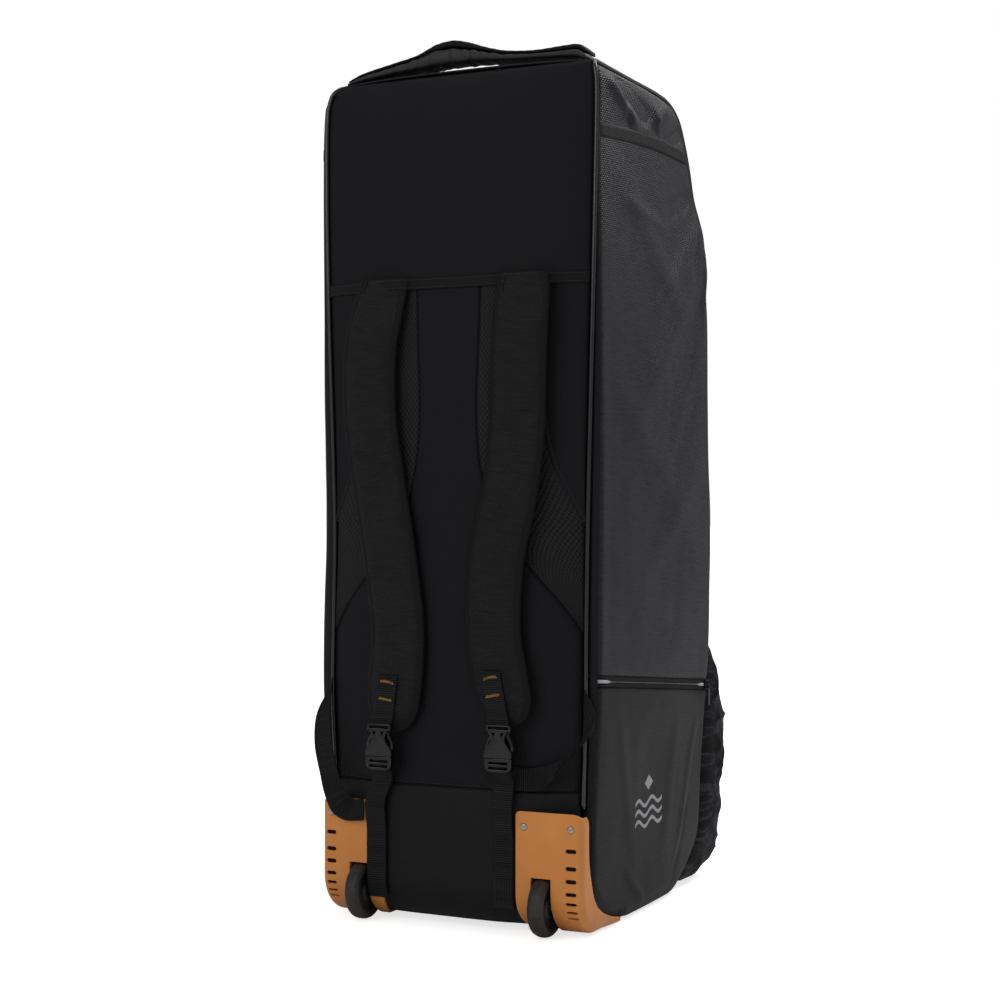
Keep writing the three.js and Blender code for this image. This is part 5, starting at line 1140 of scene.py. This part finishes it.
def webbing(name, first, second, step=0.65):
    """Ribbed webbing whose two edges run through two rows of points in millimetres."""
    rough = [(through(first, k / 60), through(second, k / 60)) for k in range(61)]
    length = sum(((a[0] + a[1]) / 2 - (b[0] + b[1]) / 2).length for a, b in zip(rough, rough[1:]))
    steps = round(length / step)
    rings = []
    for k in range(steps + 1):
        t = k / steps
        a, b = through(first, t), through(second, t)
        along = through(first, min(t + 2e-3, 1)) - through(first, max(t - 2e-3, 0))
        along += through(second, min(t + 2e-3, 1)) - through(second, max(t - 2e-3, 0))
        face = along.cross(b - a).normalized()
        rib = 0.7 * (abs(math.sin(math.pi * t * length / RIB)) - 0.5)
        ring = []
        for side in (1, -1):
            for s, lift, ribbing in WEBBING_SECTION:
                high = WEBBING_THICK / 2 * lift + rib * ribbing
                s = s if side > 0 else 1 - s
                ring.append(a.lerp(b, s) + face * side * high)
        rings.append(ring)
    return lofted(name, rings, ribbed)


def straight_webbing(name, middle):
    edges = ([(x + side * WEBBING / 2, y, z) for x, y, z in middle] for side in (-1, 1))
    return webbing(name, *edges)


RIVET_RADIUS, RIVET_HEIGHT, RIVET_DROP = 4.2, 2, 16.7
GUARD_FACE = back_y(GUARD_INNER, HEEL_START) - 0.3 - GUARD_THICK
GUARD_RADIUS = HEEL + 0.3 + GUARD_THICK
BUCKLE_Y = -(BACK_CROWN + PAD_CLEAR + PAD_THICK * 0.85)
for word, row in WEBBING_ROWS.items():
    join_x, join_z = row["join_x"] * WIDTH / 2, row["fastened"] * HEIGHT
    tab_x, tab_top = row["tab_x"] * WIDTH / 2, row["tab_up"] * HEIGHT
    socket_top = join_z + SOCKET_LENGTH - 4
    face_y = -(BACK_CROWN + PAD_CLEAR + PAD_THICK / 2 + 2.2)
    tab_drop = tab_top - socket_top
    tab = straight_webbing(f"buckle_tab_{word}", [
        (tab_x, face_y, tab_top), (tab_x * 0.7 + join_x * 0.3, face_y, tab_top - tab_drop * 0.35),
        (tab_x * 0.35 + join_x * 0.65, face_y - 0.3, socket_top + tab_drop * 0.25),
        (join_x, BUCKLE_Y, socket_top)])
    on_bag(tab, f"strap_tab_{word}")
    lean = math.atan2(join_x - tab_x, tab_drop)
    for drop, sag in ((7, 0.8), (27, 0)):
        tack_y = face_y - WEBBING_THICK / 2 - 0.3
        middle = Vector((tab_x + math.sin(lean) * drop * 0.8, tack_y, tab_top - drop))
        side = Vector((math.cos(lean), 0, math.sin(lean)))
        tack = []
        for k in range(27):
            s = -8 + 16 * k / 26
            tack.append(middle + side * s + Vector((0, 0, (1.3 if k % 2 else -1.3) - sag * (s / 8) ** 2)))
        on_bag(tube(f"bar_tack_{word}_{drop}", tack, 0.55, gold_thread, sides=6))

    low_x = -89.9 if word == "left" else 69
    plug_low = join_z - PLUG_LENGTH + 3

    def carrier(z, low_x=low_x):
        if low_x > 0:
            x = low_x - WEBBING / 2
            return back_y(x, max(z, HEEL_START)) + round_down(HEEL_START - z, HEEL)
        return GUARD_FACE + round_down(HEEL_START - z, GUARD_RADIUS)

    rest_on = -0.6 - WEBBING_THICK / 2
    over_rivet = GUARD_FACE - RIVET_HEIGHT - 0.9 - WEBBING_THICK / 2
    rivet_z = GUARD_TOP - RIVET_DROP
    middle = [(join_x, BUCKLE_Y, plug_low),
              (join_x * 0.8 + low_x * 0.2, -(BACK_CROWN + PAD_CLEAR),
               plug_low - (plug_low - GUARD_TOP) * 0.35),
              (low_x, min(carrier(GUARD_TOP) + rest_on, over_rivet) - 1, GUARD_TOP),
              (low_x, min(carrier(rivet_z) + rest_on, over_rivet), rivet_z)]
    start, low_z = rivet_z - RIVET_RADIUS * 4, 0.030 * HEIGHT
    heights = [start + (low_z - start) * t / 5 for t in range(6)]
    middle += [(low_x, carrier(z) + rest_on, z) for z in heights]
    on_bag(straight_webbing(f"lower_strap_{word}", middle), f"lower_webbing_{word}")
    first = [(a * WIDTH / 2, -off, up * HEIGHT) for a, up, off, *_ in LOOP_ROWS[word]]
    second = [(a * WIDTH / 2, -off, up * HEIGHT) for *_, a, up, off in LOOP_ROWS[word]]
    on_bag(webbing(f"carry_loop_{word}", first, second), f"side_loop_{word}")
    if word == "right":
        patch = []
        for k in range(19):
            z = low_z + 1.5 + 2.0 * k
            ends = (low_x - 11, low_x + 11)
            for x in ends if k % 2 else ends[::-1]:
                patch.append((x, carrier(z) + rest_on - WEBBING_THICK / 2 - 0.25, z))
        stitches("box_stitches", patch, (0, -1, 0), thread, length=2.4, gap=0.8, width=0.6)

# Buckles: 25 mm side-release buckles moulded in dark grey acetal, fastened on both straps.
# Each has a waisted face between two side openings, a slotted frame on top for the tab, and a
# ladder bar below for the long webbing. The mouldings have small rounded edges and a satin skin.
acetal, tree, shader, grain = mottled("moulded_acetal", "#080809", "#0E0E0F", 700, 3, roughness=0.22)
grained = add_node(tree, "ShaderNodeBump", {"Height": grain, "Strength": 0.12, "Distance": 0.0003})
tree.links.new(grained.outputs[0], shader.inputs["Normal"])


def face_outwards(made):
    """Turns the faces of a closed piece outwards."""
    bm = bmesh.new()
    bm.from_mesh(made.data)
    bmesh.ops.recalc_face_normals(bm, faces=bm.faces)
    bm.to_mesh(made.data)
    bm.free()


def round_edges(made, width, segments, sharper):
    """Rounds the edges that are sharper than an angle in degrees, by a width in millimetres."""
    modifier = made.modifiers.new("round", "BEVEL")
    modifier.width = width / 1000
    modifier.segments = segments
    modifier.limit_method = "ANGLE"
    modifier.angle_limit = math.radians(sharper)
    bake_modifiers(made)


def plate(name, outline, y0, y1, material, edge=0.8, holes=()):
    """A moulding with an outline of x and z, between two depths, with rounded edges and holes."""
    count = len(outline)
    points = [(x, y, z) for y in (y0, y1) for x, z in outline]
    faces = [tuple(range(count)), tuple(range(count, 2 * count))[::-1]]
    faces += [(i, i + count, (i + 1) % count + count, (i + 1) % count) for i in range(count)]
    made = mesh_object(name, points, faces, material, smooth=False)
    face_outwards(made)
    for hole in holes:
        apply_cut(made, plate("cutter", hole, y0 - 3, y1 + 3, material, edge=0))
    if edge:
        round_edges(made, edge, 3, 35)
        made.data.shade_smooth()
    return made


def mirrored_outline(half):
    """The right half of an outline, from bottom to top, with its mirror image."""
    return half + [(-x, z) for x, z in half[::-1]]


def shifted(outline, x, z):
    return [(a + x, b + z) for a, b in outline]


def rectangle(x0, x1, z0, z1):
    return [(x0, z0), (x1, z0), (x1, z1), (x0, z1)]


for word, row in WEBBING_ROWS.items():
    x, y, z = row["join_x"] * WIDTH / 2, BUCKLE_Y, row["fastened"] * HEIGHT
    half, deep = BUCKLE_WIDTH / 2, BUCKLE_THICK / 2

    def buckle_part(part, outline, y0, y1, edge, holes=(), x=x, z=z, word=word):
        """One moulding of a buckle, from the right half of its outline."""
        around = shifted(mirrored_outline(outline), x, z)
        cuts = [shifted(hole, x, z) for hole in holes]
        return plate(f"buckle_{part}_{word}", around, y0, y1, acetal, edge, cuts)

    face = [(half, 0), (half, 4), (half - 1.2, 8), (half - 4.0, 12), (half - 7.4, 17), (half - 8.4, 21),
            (half - 7.2, 25), (half - 5.2, 28), (half - 4.4, 30)]
    windows = [[(side * 3.2, 27.8), (side * 4.4, 22.8), (side * 7.6, 27.8)][::side] for side in (1, -1)]
    lip = [(half + 0.2, 0.2), (half + 0.2, 5), (half - 0.6, 8.5)]
    bar = [(half - 2.5, 28.5), (half - 1.6, 31), (half - 1.8, SOCKET_LENGTH - 1), (half - 3, SOCKET_LENGTH)]
    bar_slot = rectangle(-WEBBING / 2 + 0.4, WEBBING / 2 - 0.4, 31, 34)
    rungs = [(8, -PLUG_LENGTH), (half - 3, -PLUG_LENGTH + 1.5), (half - 0.6, -PLUG_LENGTH + 5), (half, -3),
             (half, -0.4)]
    rung_slots = [rectangle(-11.5, 11.5, -6.8, -4.2), rectangle(-11.5, 11.5, -12.6, -9.8)]
    front_plate = buckle_part("face", face, y - deep, y - deep + 2.6, 0.9, windows)
    back_plate = buckle_part("back", face, y + deep - 2.4, y + deep, 0.7)
    mouth = buckle_part("mouth", lip, y - deep + 0.3, y + deep - 0.3, 1.2, [rectangle(-12.5, 12.5, 5, 9.5)])
    top_bar = buckle_part("frame", bar, y - deep + 1.5, y + deep - 1.5, 0.9, [bar_slot])
    on_bag(front_plate, f"buckle_socket_{word}")
    for part in (back_plate, mouth, top_bar):
        on_bag(part)
    ladder = buckle_part("ladder", rungs, y - deep + 0.4, y + deep - 0.6, 1.0, rung_slots)
    on_bag(ladder, f"buckle_plug_{word}")
    for side, hand in ((-1, "left"), (1, "right")):
        arm = []
        for k in range(15):
            t = k / 14
            away = half - 3.4 - 4.2 * soft_step(0.35, 1, t) + 1.9 * math.sin(math.pi * t) ** 2
            arm.append((x + side * away, y, z + 1 + 27 * t))
        on_bag(tube(f"buckle_prong_{word}_{hand}", arm, 2.3, acetal, sides=10))

# Zip sliders: small die-cast zinc bodies with a dark plating and a flat pull with a slot in it.
# The pocket's slider is parked at the far end of its zip, the main zip's low on one side.
plated_zinc, tree, shader, _ = mottled("dark_plated_zinc", "#1C1C1E", "#38383B", 400, 3, roughness=0.4)
shader.inputs["Metallic"].default_value = 0.8


def zip_slider(name, seat, heading):
    """A slider and its hanging pull at a place in millimetres, faced away from the back by a turn."""
    shell = mirrored_outline([(3.2, -6), (4.4, -2), (4.4, 3), (2.6, 6)])
    body = plate(f"{name}_body", shell, -3.4, -0.4, plated_zinc)
    bow = [(0, -3.0, 4.5), (0, -4.3, 3.2), (0, -4.7, 0), (0, -4.3, -3), (0, -3.0, -4.6)]
    bridge = tube(f"{name}_bridge", bow, 0.9, plated_zinc)
    blade = mirrored_outline([(1.4, -26), (2.7, -24.5), (2.8, -8), (2.1, 0.4), (1, 1)])
    slot = rectangle(-1.2, 1.2, -3.6, -1.0)
    pull = plate(f"{name}_pull", blade, -6.4, -5.0, plated_zinc, edge=0.4, holes=[slot])
    facing = Matrix.Rotation(math.radians(heading), 3, "Z")
    for part in (body, bridge, pull):
        for vertex in part.data.vertices:
            vertex.co = ORIGIN + (Vector(seat) + facing @ ((vertex.co - ORIGIN) * 1000)) / 1000
        on_bag(part)
    return body, pull


PARKED, MAIN_PARKED = 0.955, 0.03
pocket_slider, pocket_pull = zip_slider("pocket_slider", side_point(1, PARKED, zip_middle(PARKED)), 90)
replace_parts(pocket_slider, "zip_slider")
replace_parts(pocket_pull, "zip_pull")
zip_slider("main_slider", beside_main_zip(MAIN_PARKED, 0, MAIN_ZIP_OUT), 180)

# Corner guards: tan polypropylene mouldings that wrap each back corner of the base and carry a
# wheel in a moulded well. The skin is satin with a soft gloss along its rounded edges, its colour turns
# darker brown in blotches towards the floor, and seven vent slots run down beside the wheel. Two rivets hold
# each.
GUARD_ROUND = 10
# How deep the side flange is, by distance down the guard's face
FLANGE_DEPTHS = (
    (0, 19), (50, 19.5), (62, 21.8), (70, 23.8), (80, 27.3), (89, 30.3), (100, 31.6), (122, 32.3),
    (138, 31.5), (163, 26.3), (175, 19.9), (200, 11.4), (227, 5.5),
)
GUARD_TOP_ROUND, GUARD_LOW_ROUND, NOTCH_TOP = 12, 30, 66.5
WHEEL_Y, WHEEL_RADIUS = -10, 33.5
# Vent slots: distance down the guard's face and share of the full height
SLOTS = ((40, 1.0), (59, 1.0), (73, 1.0), (87, 0.9), (98, 0.8), (108, 0.7), (116, 0.6))
SLOT_WIDTH, SLOT_HEIGHT, SLOT_X = 13, 4.8, 150
polypropylene, tree, shader = new_material("moulded_polypropylene", gloss=0.45)
spot = add_node(tree, "ShaderNodeTexCoord").outputs["Object"]
haze = add_node(tree, "ShaderNodeTexNoise", {"Vector": spot, "Scale": 28, "Detail": 5}).outputs["Fac"]
tans = {0: haze, 6: linear("#CF7F36"), 7: linear("#E49349")}
guard_tone = add_node(tree, "ShaderNodeMix", tans, data_type="RGBA").outputs[2]
height = add_node(tree, "ShaderNodeSeparateXYZ", {0: spot}).outputs["Z"]
# The colour turns darker brown in blotches in the lowest 45 mm, towards the floor
near_floor = {"Value": height, "From Min": 0.0, "From Max": 0.045, "To Min": 0.55, "To Max": 0.0}
toward_floor = add_node(tree, "ShaderNodeMapRange", near_floor).outputs[0]
blotch_settings = {"Vector": spot, "Scale": 90, "Detail": 6, "Roughness": 0.7}
blotches = add_node(tree, "ShaderNodeTexNoise", blotch_settings).outputs["Fac"]
low_darkening = add_node(tree, "ShaderNodeMath", {0: toward_floor, 1: blotches}, operation="MULTIPLY").outputs[0]
darkening_mix = {0: low_darkening, 6: guard_tone, 7: linear("#7A5228")}
varied = add_node(tree, "ShaderNodeMix", darkening_mix, data_type="RGBA").outputs[2]
tree.links.new(varied, shader.inputs["Base Color"])
guard_rough = add_node(tree, "ShaderNodeMapRange", {"Value": blotches, "To Min": 0.3, "To Max": 0.5}).outputs[0]
tree.links.new(guard_rough, shader.inputs["Roughness"])
shader.inputs["Subsurface Weight"].default_value = 0.05
grained = add_node(tree, "ShaderNodeBump", {"Height": blotches, "Strength": 0.06, "Distance": 0.0005})
tree.links.new(grained.outputs[0], shader.inputs["Normal"])
GUARD_STRAIGHT = GUARD_TOP - HEEL_START
GUARD_ARC = GUARD_RADIUS * math.pi / 2
GUARD_RUN = GUARD_STRAIGHT + GUARD_ARC + FOOT_LENGTH


def guard_path(along):
    """Place of the guard's face down the back and under the heel, the direction inwards and the turn."""
    turn = min(max(along - GUARD_STRAIGHT, 0), GUARD_ARC) / GUARD_RADIUS
    foot_run = max(along - GUARD_STRAIGHT - GUARD_ARC, 0)
    y = GUARD_FACE + GUARD_RADIUS * (1 - math.cos(turn)) + foot_run
    z = GUARD_TOP - min(along, GUARD_STRAIGHT) - GUARD_RADIUS * math.sin(turn)
    return Vector((0, y, z)), Vector((0, math.cos(turn), math.sin(turn))), turn


def guard_skin(u, v):
    place, inward, _ = guard_path(v * GUARD_RUN)
    flange = among(FLANGE_DEPTHS, v * GUARD_RUN, 1)
    bend = max(min(GUARD_ROUND, flange * 0.6), GUARD_THICK * 1.3)
    x, d = GUARD_INNER + (GUARD_OUTER - bend - GUARD_INNER) * min(u / 0.6, 1), 0
    if u > 0.6:
        angle = min((u - 0.6) / 0.25, 1) * math.pi / 2
        x, d = GUARD_OUTER - bend + bend * math.sin(angle), bend * (1 - math.cos(angle))
    if u > 0.85:
        d = bend + max(flange - bend, 0.6) * (u - 0.85) / 0.15
    return Vector((x, place.y, place.z)) + inward * d


def arc(x, z, radius, first, last, steps=8):
    """Points of a round corner, with angles in degrees."""
    turns = [math.radians(first + (last - first) * k / steps) for k in range(steps + 1)]
    return [(x + radius * math.cos(turn), z + radius * math.sin(turn)) for turn in turns]


guard = sewn("corner_guard_right_moulding", guard_skin, 2.2, 3.0, polypropylene, thick=GUARD_THICK, dip=0,
             inside=(GUARD_INNER, HEEL, HEEL_START))
FREE, LOW_CUT = 30, GUARD_INNER + 16.5
keep = [(GUARD_INNER, HEEL_LIFT + GUARD_LOW_ROUND)] + arc(GUARD_INNER + 5, GUARD_TOP - 5, 5, 180, 90)
keep += arc(GUARD_OUTER - GUARD_TOP_ROUND, GUARD_TOP - GUARD_TOP_ROUND, GUARD_TOP_ROUND, 90, 0)
keep += [(GUARD_OUTER + FREE, GUARD_TOP - GUARD_TOP_ROUND), (GUARD_OUTER + FREE, -FREE), (LOW_CUT, -FREE),
         (LOW_CUT, 0)]
keep += [(GUARD_INNER + 16.5 * (1 - t) ** 2,
          HEEL_LIFT * 2 * t * (1 - t) + (HEEL_LIFT + GUARD_LOW_ROUND) * t * t)
         for t in (0.2, 0.4, 0.6, 0.8, 0.92)]
apply_cut(guard, plate("cutter", keep, -80, 180, polypropylene, edge=0), "INTERSECT")
well_low, well_high = (WHEEL_X - WELL_HALF, GUARD_FACE - 10, -3), (WHEEL_X + WELL_HALF, WELL_BACK, NOTCH_TOP)
apply_cut(guard, solid_box(well_low, well_high))
for along, high in SLOTS:
    place, inward, turn = guard_path(along)
    h = SLOT_HEIGHT * high / 2
    w = SLOT_WIDTH / 2 - h
    outline = arc(w, 0, h, -90, 90, 6) + arc(-w, 0, h, 90, 270, 6)
    cutter = plate("cutter", outline, -6, 6, polypropylene, edge=0)
    turn_in = Matrix.Rotation(turn, 4, "X")
    for vertex in cutter.data.vertices:
        local = (vertex.co - ORIGIN) * 1000
        vertex.co = ORIGIN + (Vector((SLOT_X, place.y, place.z)) + turn_in @ local) / 1000
    apply_cut(guard, cutter)
well = solid_box((WHEEL_X - WELL_HALF - SHELL, GUARD_FACE + 1.2, HEEL_LIFT + 0.3),
                 (WHEEL_X + WELL_HALF + SHELL, WELL_BACK + SHELL, WELL_TOP + SHELL))
well_room = solid_box((WHEEL_X - WELL_HALF, GUARD_FACE - 2, -3), (WHEEL_X + WELL_HALF, WELL_BACK, WELL_TOP))
apply_cut(well, well_room)
SINK = 1.2
heel_side = [(GUARD_FACE - FREE, HEEL_START), (GUARD_FACE + SINK, HEEL_START)]
heel_side += [(GUARD_FACE + GUARD_RADIUS - (GUARD_RADIUS - SINK) * math.cos(math.radians(a)),
               HEEL_START - (GUARD_RADIUS - SINK) * math.sin(math.radians(a))) for a in range(5, 91, 5)]
heel_side += [(GUARD_FACE + GUARD_RADIUS, -FREE), (GUARD_FACE - FREE, -FREE)]
waste = plate("cutter", heel_side, WHEEL_X - 20, WHEEL_X + 20, polypropylene, edge=0)
for vertex in waste.data.vertices:
    x, y, z = (vertex.co - ORIGIN) * 1000
    vertex.co = ORIGIN + Vector((y, x, z)) / 1000
face_outwards(waste)
apply_cut(well, waste)
apply_cut(guard, well, "UNION")
round_edges(guard, 0.7, 2, 50)


def smooth_by_angle(made, angle):
    """Smooth shading that keeps the edges sharper than an angle in degrees."""
    bm = bmesh.new()
    bm.from_mesh(made.data)
    for edge in bm.edges:
        edge.smooth = len(edge.link_faces) == 2 and edge.calc_face_angle(0) < math.radians(angle)
    for face in bm.faces:
        face.smooth = True
    bm.to_mesh(made.data)
    bm.free()


smooth_by_angle(guard, 32)
on_bag(guard, "corner_guard_right")


def other_side(made, name):
    """A mirrored copy of a piece for the left of the bag."""
    mesh = made.data.copy()
    for vertex in mesh.vertices:
        vertex.co.x = 2 * ORIGIN.x - vertex.co.x
    mesh.flip_normals()
    copy = bpy.data.objects.new(name, mesh)
    scene.collection.objects.link(copy)
    return copy


# A dark lining stands behind the vent slots
lining = sewn("guard_lining_right", lambda u, v: guard_skin(0.47 + 0.43 * u, (26 + 100 * v) / GUARD_RUN),
              3, 3, coated, lambda *place: -3.9, thick=4.7, dip=0, inside=(GUARD_INNER, HEEL, HEEL_START))
on_bag(lining)
on_bag(other_side(lining, "guard_lining_left"))
on_bag(other_side(guard, "corner_guard_left_moulding"), "corner_guard_left")

# Rivets: nickel-plated steel, domed heads 8 mm across with a pressed dimple, dulled by handling.
nickel, tree, shader, scratches = mottled("nickel_plated_steel", "#8F8C87", "#C9C6C0", 500, 4)
shader.inputs["Metallic"].default_value = 1.0
dulled = add_node(tree, "ShaderNodeMapRange", {"Value": scratches, "To Min": 0.22, "To Max": 0.42})
tree.links.new(dulled.outputs[0], shader.inputs["Roughness"])


def turned(name, profile, centre, axis, material, segments=40):
    """A piece turned from a profile of radius and height, with its axis along X or outwards along -Y."""
    points, faces = [], []
    for i in range(segments):
        turn = 2 * math.pi * i / segments
        for radius, along in profile:
            a, b = radius * math.cos(turn), radius * math.sin(turn)
            points.append(Vector(centre) + (Vector((along, a, b)) if axis == "X" else Vector((a, -along, b))))
    count = len(profile)
    for i in range(segments):
        for j in range(count):
            a, b = i * count + j, i * count + (j + 1) % count
            c, d = ((i + 1) % segments) * count + (j + 1) % count, ((i + 1) % segments) * count + j
            faces.append((a, b, c, d))
    made = mesh_object(name, points, faces, material)
    bm = bmesh.new()
    bm.from_mesh(made.data)
    bmesh.ops.remove_doubles(bm, verts=bm.verts, dist=1e-6)
    bmesh.ops.dissolve_degenerate(bm, edges=bm.edges, dist=1e-7)
    bmesh.ops.recalc_face_normals(bm, faces=bm.faces)
    bm.to_mesh(made.data)
    bm.free()
    smooth_by_angle(made, 38)
    return made


head = [(0, 1.35), (0.9, 1.35), (1.3, 1.75), (2.0, 2.0), (3.0, 1.75), (3.8, 1.0),
        (4.2, 0.1), (4.2, -0.2), (0, -0.2)]
for side, word in ((-1, "left"), (1, "right")):
    for x, place in ((GUARD_INNER + 10, "inner"), (GUARD_OUTER - 13.5, "outer")):
        seat = (side * x, GUARD_FACE - 0.1, GUARD_TOP - RIVET_DROP)
        rivet = turned(f"rivet_{word}_{place}", head, seat, "Y", nickel, segments=28)
        on_bag(rivet, f"guard_rivet_{word}_{place}")

# Wheels: hard polyurethane tyres on a moulded hub, dark grey, scuffed and gritty from the ground.
# The tread is broad and round-shouldered, with a fine mould line and a hub with a steel pin.
polyurethane, tree, shader = new_material("moulded_polyurethane")
spot = add_node(tree, "ShaderNodeTexCoord").outputs["Object"]
grains = {"Vector": spot, "Scale": 130, "Detail": 6, "Roughness": 0.75}
grit = add_node(tree, "ShaderNodeTexNoise", grains).outputs["Fac"]
patch = add_node(tree, "ShaderNodeTexNoise", {"Vector": spot, "Scale": 34, "Detail": 3}).outputs["Fac"]
both = add_node(tree, "ShaderNodeMath", {0: grit, 1: patch}, operation="MULTIPLY").outputs[0]
dusty = add_node(tree, "ShaderNodeMapRange", {"Value": both, "From Min": 0.18, "From Max": 0.42}).outputs[0]
greys = {0: dusty, 6: linear("#151516"), 7: linear("#3A3533")}
wheel_tone = add_node(tree, "ShaderNodeMix", greys, data_type="RGBA").outputs[2]
tree.links.new(wheel_tone, shader.inputs["Base Color"])
wheel_rough = add_node(tree, "ShaderNodeMapRange", {"Value": grit, "To Min": 0.42, "To Max": 0.66}).outputs[0]
tree.links.new(wheel_rough, shader.inputs["Roughness"])
gritty = add_node(tree, "ShaderNodeBump", {"Height": grit, "Strength": 0.35, "Distance": 0.0007})
tree.links.new(gritty.outputs[0], shader.inputs["Normal"])
AXLE = 4.2
tyre = [(AXLE, 7.2), (11.2, 7.2), (12.2, 5.6), (13.4, 4.9), (20.6, 4.9), (22.4, 5.8), (24.2, 8.4),
        (26.4, 9.4), (28.4, 9.6), (30.3, 8.8), (31.9, 6.9), (32.9, 4.4), (33.4, 1.6), (33.4, 0.5), (33.15, 0.0)]
tyre += [(r, -w) for r, w in tyre[-2::-1]]
for side, word in ((-1, "left"), (1, "right")):
    hub = Vector((side * WHEEL_X, WHEEL_Y, WHEEL_RADIUS))
    wheel = turned(f"tyre_{word}", tyre, hub, "X", polyurethane, segments=72)
    for vertex in wheel.data.vertices:
        local = (vertex.co - ORIGIN) * 1000 - hub
        radius = math.hypot(local.y, local.z)
        if radius > 26:
            turn = math.atan2(local.z, local.y)
            worn_by = 0.25 * max(0, math.sin(turn * 9 + side)) + 0.3 * max(0, noise.noise(local / 7))
            vertex.co -= Vector((0, local.y, local.z)) / radius * worn_by / 1000
    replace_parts(wheel, f"wheel_{word}")
    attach(wheel, f"{word}_wheel")
    pin_half = WELL_HALF + SHELL
    profile = [(0, pin_half), (3.2, pin_half), (3.9, pin_half - 0.7)]
    profile += [(radius, -along) for radius, along in profile[::-1]]
    pin = turned(f"wheel_pin_{word}", profile, hub, "X", nickel, segments=28)
    on_bag(pin, f"axle_{word}")

# Carrying handle: webbing along the top seam, folded double and wrapped in nylon over a foam core.
# It is pinched flat at both ends, bows up off the top in the middle, and its lower half is
# puckered where the wrap is gathered. A ribbed strip runs along the top of it.
# Across the top: share of half the width, and heights of the core's two faces and of the strip's top
HANDLE_ROWS = (
    (-0.880, 0.9, 5, 8), (-0.780, 4, 11, 14.5), (-0.515, 9, 19, 23.5), (-0.340, 11, 25, 29),
    (-0.200, 13, 31, 38.5), (-0.080, 13.8, 33, 42), (0.040, 13.8, 30, 38.5), (0.150, 13.3, 26, 32),
    (0.290, 11.5, 20, 25), (0.420, 10, 17.5, 21.5), (0.575, 9, 15.5, 20), (0.780, 7, 15.5, 21.5),
    (0.880, 5, 15, 21), (0.935, 1.1, 9, 15),
)
HANDLE_DEPTH, HANDLE_Y = 34, 22
wrap_nylon = woven("gathered_nylon_wrap", "#1F1F22", 0.9, 0.42, 0.32, 0.25, shade=0.2)


def handle_part(name, low_column, high_column, depth, lift, material, puckers, ribs):
    rings = []
    first, last = HANDLE_ROWS[0][0], HANDLE_ROWS[-1][0]
    for k in range(281):
        x = first + (last - first) * k / 280
        low = HEIGHT + among(HANDLE_ROWS, x, low_column) + lift
        high = HEIGHT + among(HANDLE_ROWS, x, high_column)
        middle, tall = (low + high) / 2, (high - low) / 2
        calm = soft_step(0, 0.08, (x - first)) * soft_step(0, 0.08, last - x)
        ring = []
        for i in range(28):
            turn = 2 * math.pi * i / 28
            c, s = math.cos(turn), math.sin(turn)
            y = math.copysign(abs(c) ** 0.55, c) * depth / 2
            z = math.copysign(abs(s) ** 0.6, s) * tall
            gather = puckers * noise.noise(Vector((x * 22, z / 26 + 4, y / 40))) * calm
            gather = gather * soft_step(-0.9, -0.2, x) * (1 - soft_step(0.1, 0.6, x))
            rib = ribs * (abs(math.sin(math.pi * k * 1.1)) - 0.5)
            grow = 1 + (gather + rib) / 17
            up = z * (1 + (gather + rib) / max(tall, 4))
            ring.append(Vector((x * WIDTH / 2, HANDLE_Y + y * grow, middle + up)))
        rings.append(ring)
    made = lofted(name, rings, material)
    on_bag(made)
    return made


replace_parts(handle_part("handle_core", 1, 2, HANDLE_DEPTH, 0, wrap_nylon, 1.6, 0), "top_handle")
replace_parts(handle_part("handle_strip", 2, 3, HANDLE_DEPTH - 6, 0.2, ribbed, 0.5, 0.3), "handle_wrap")
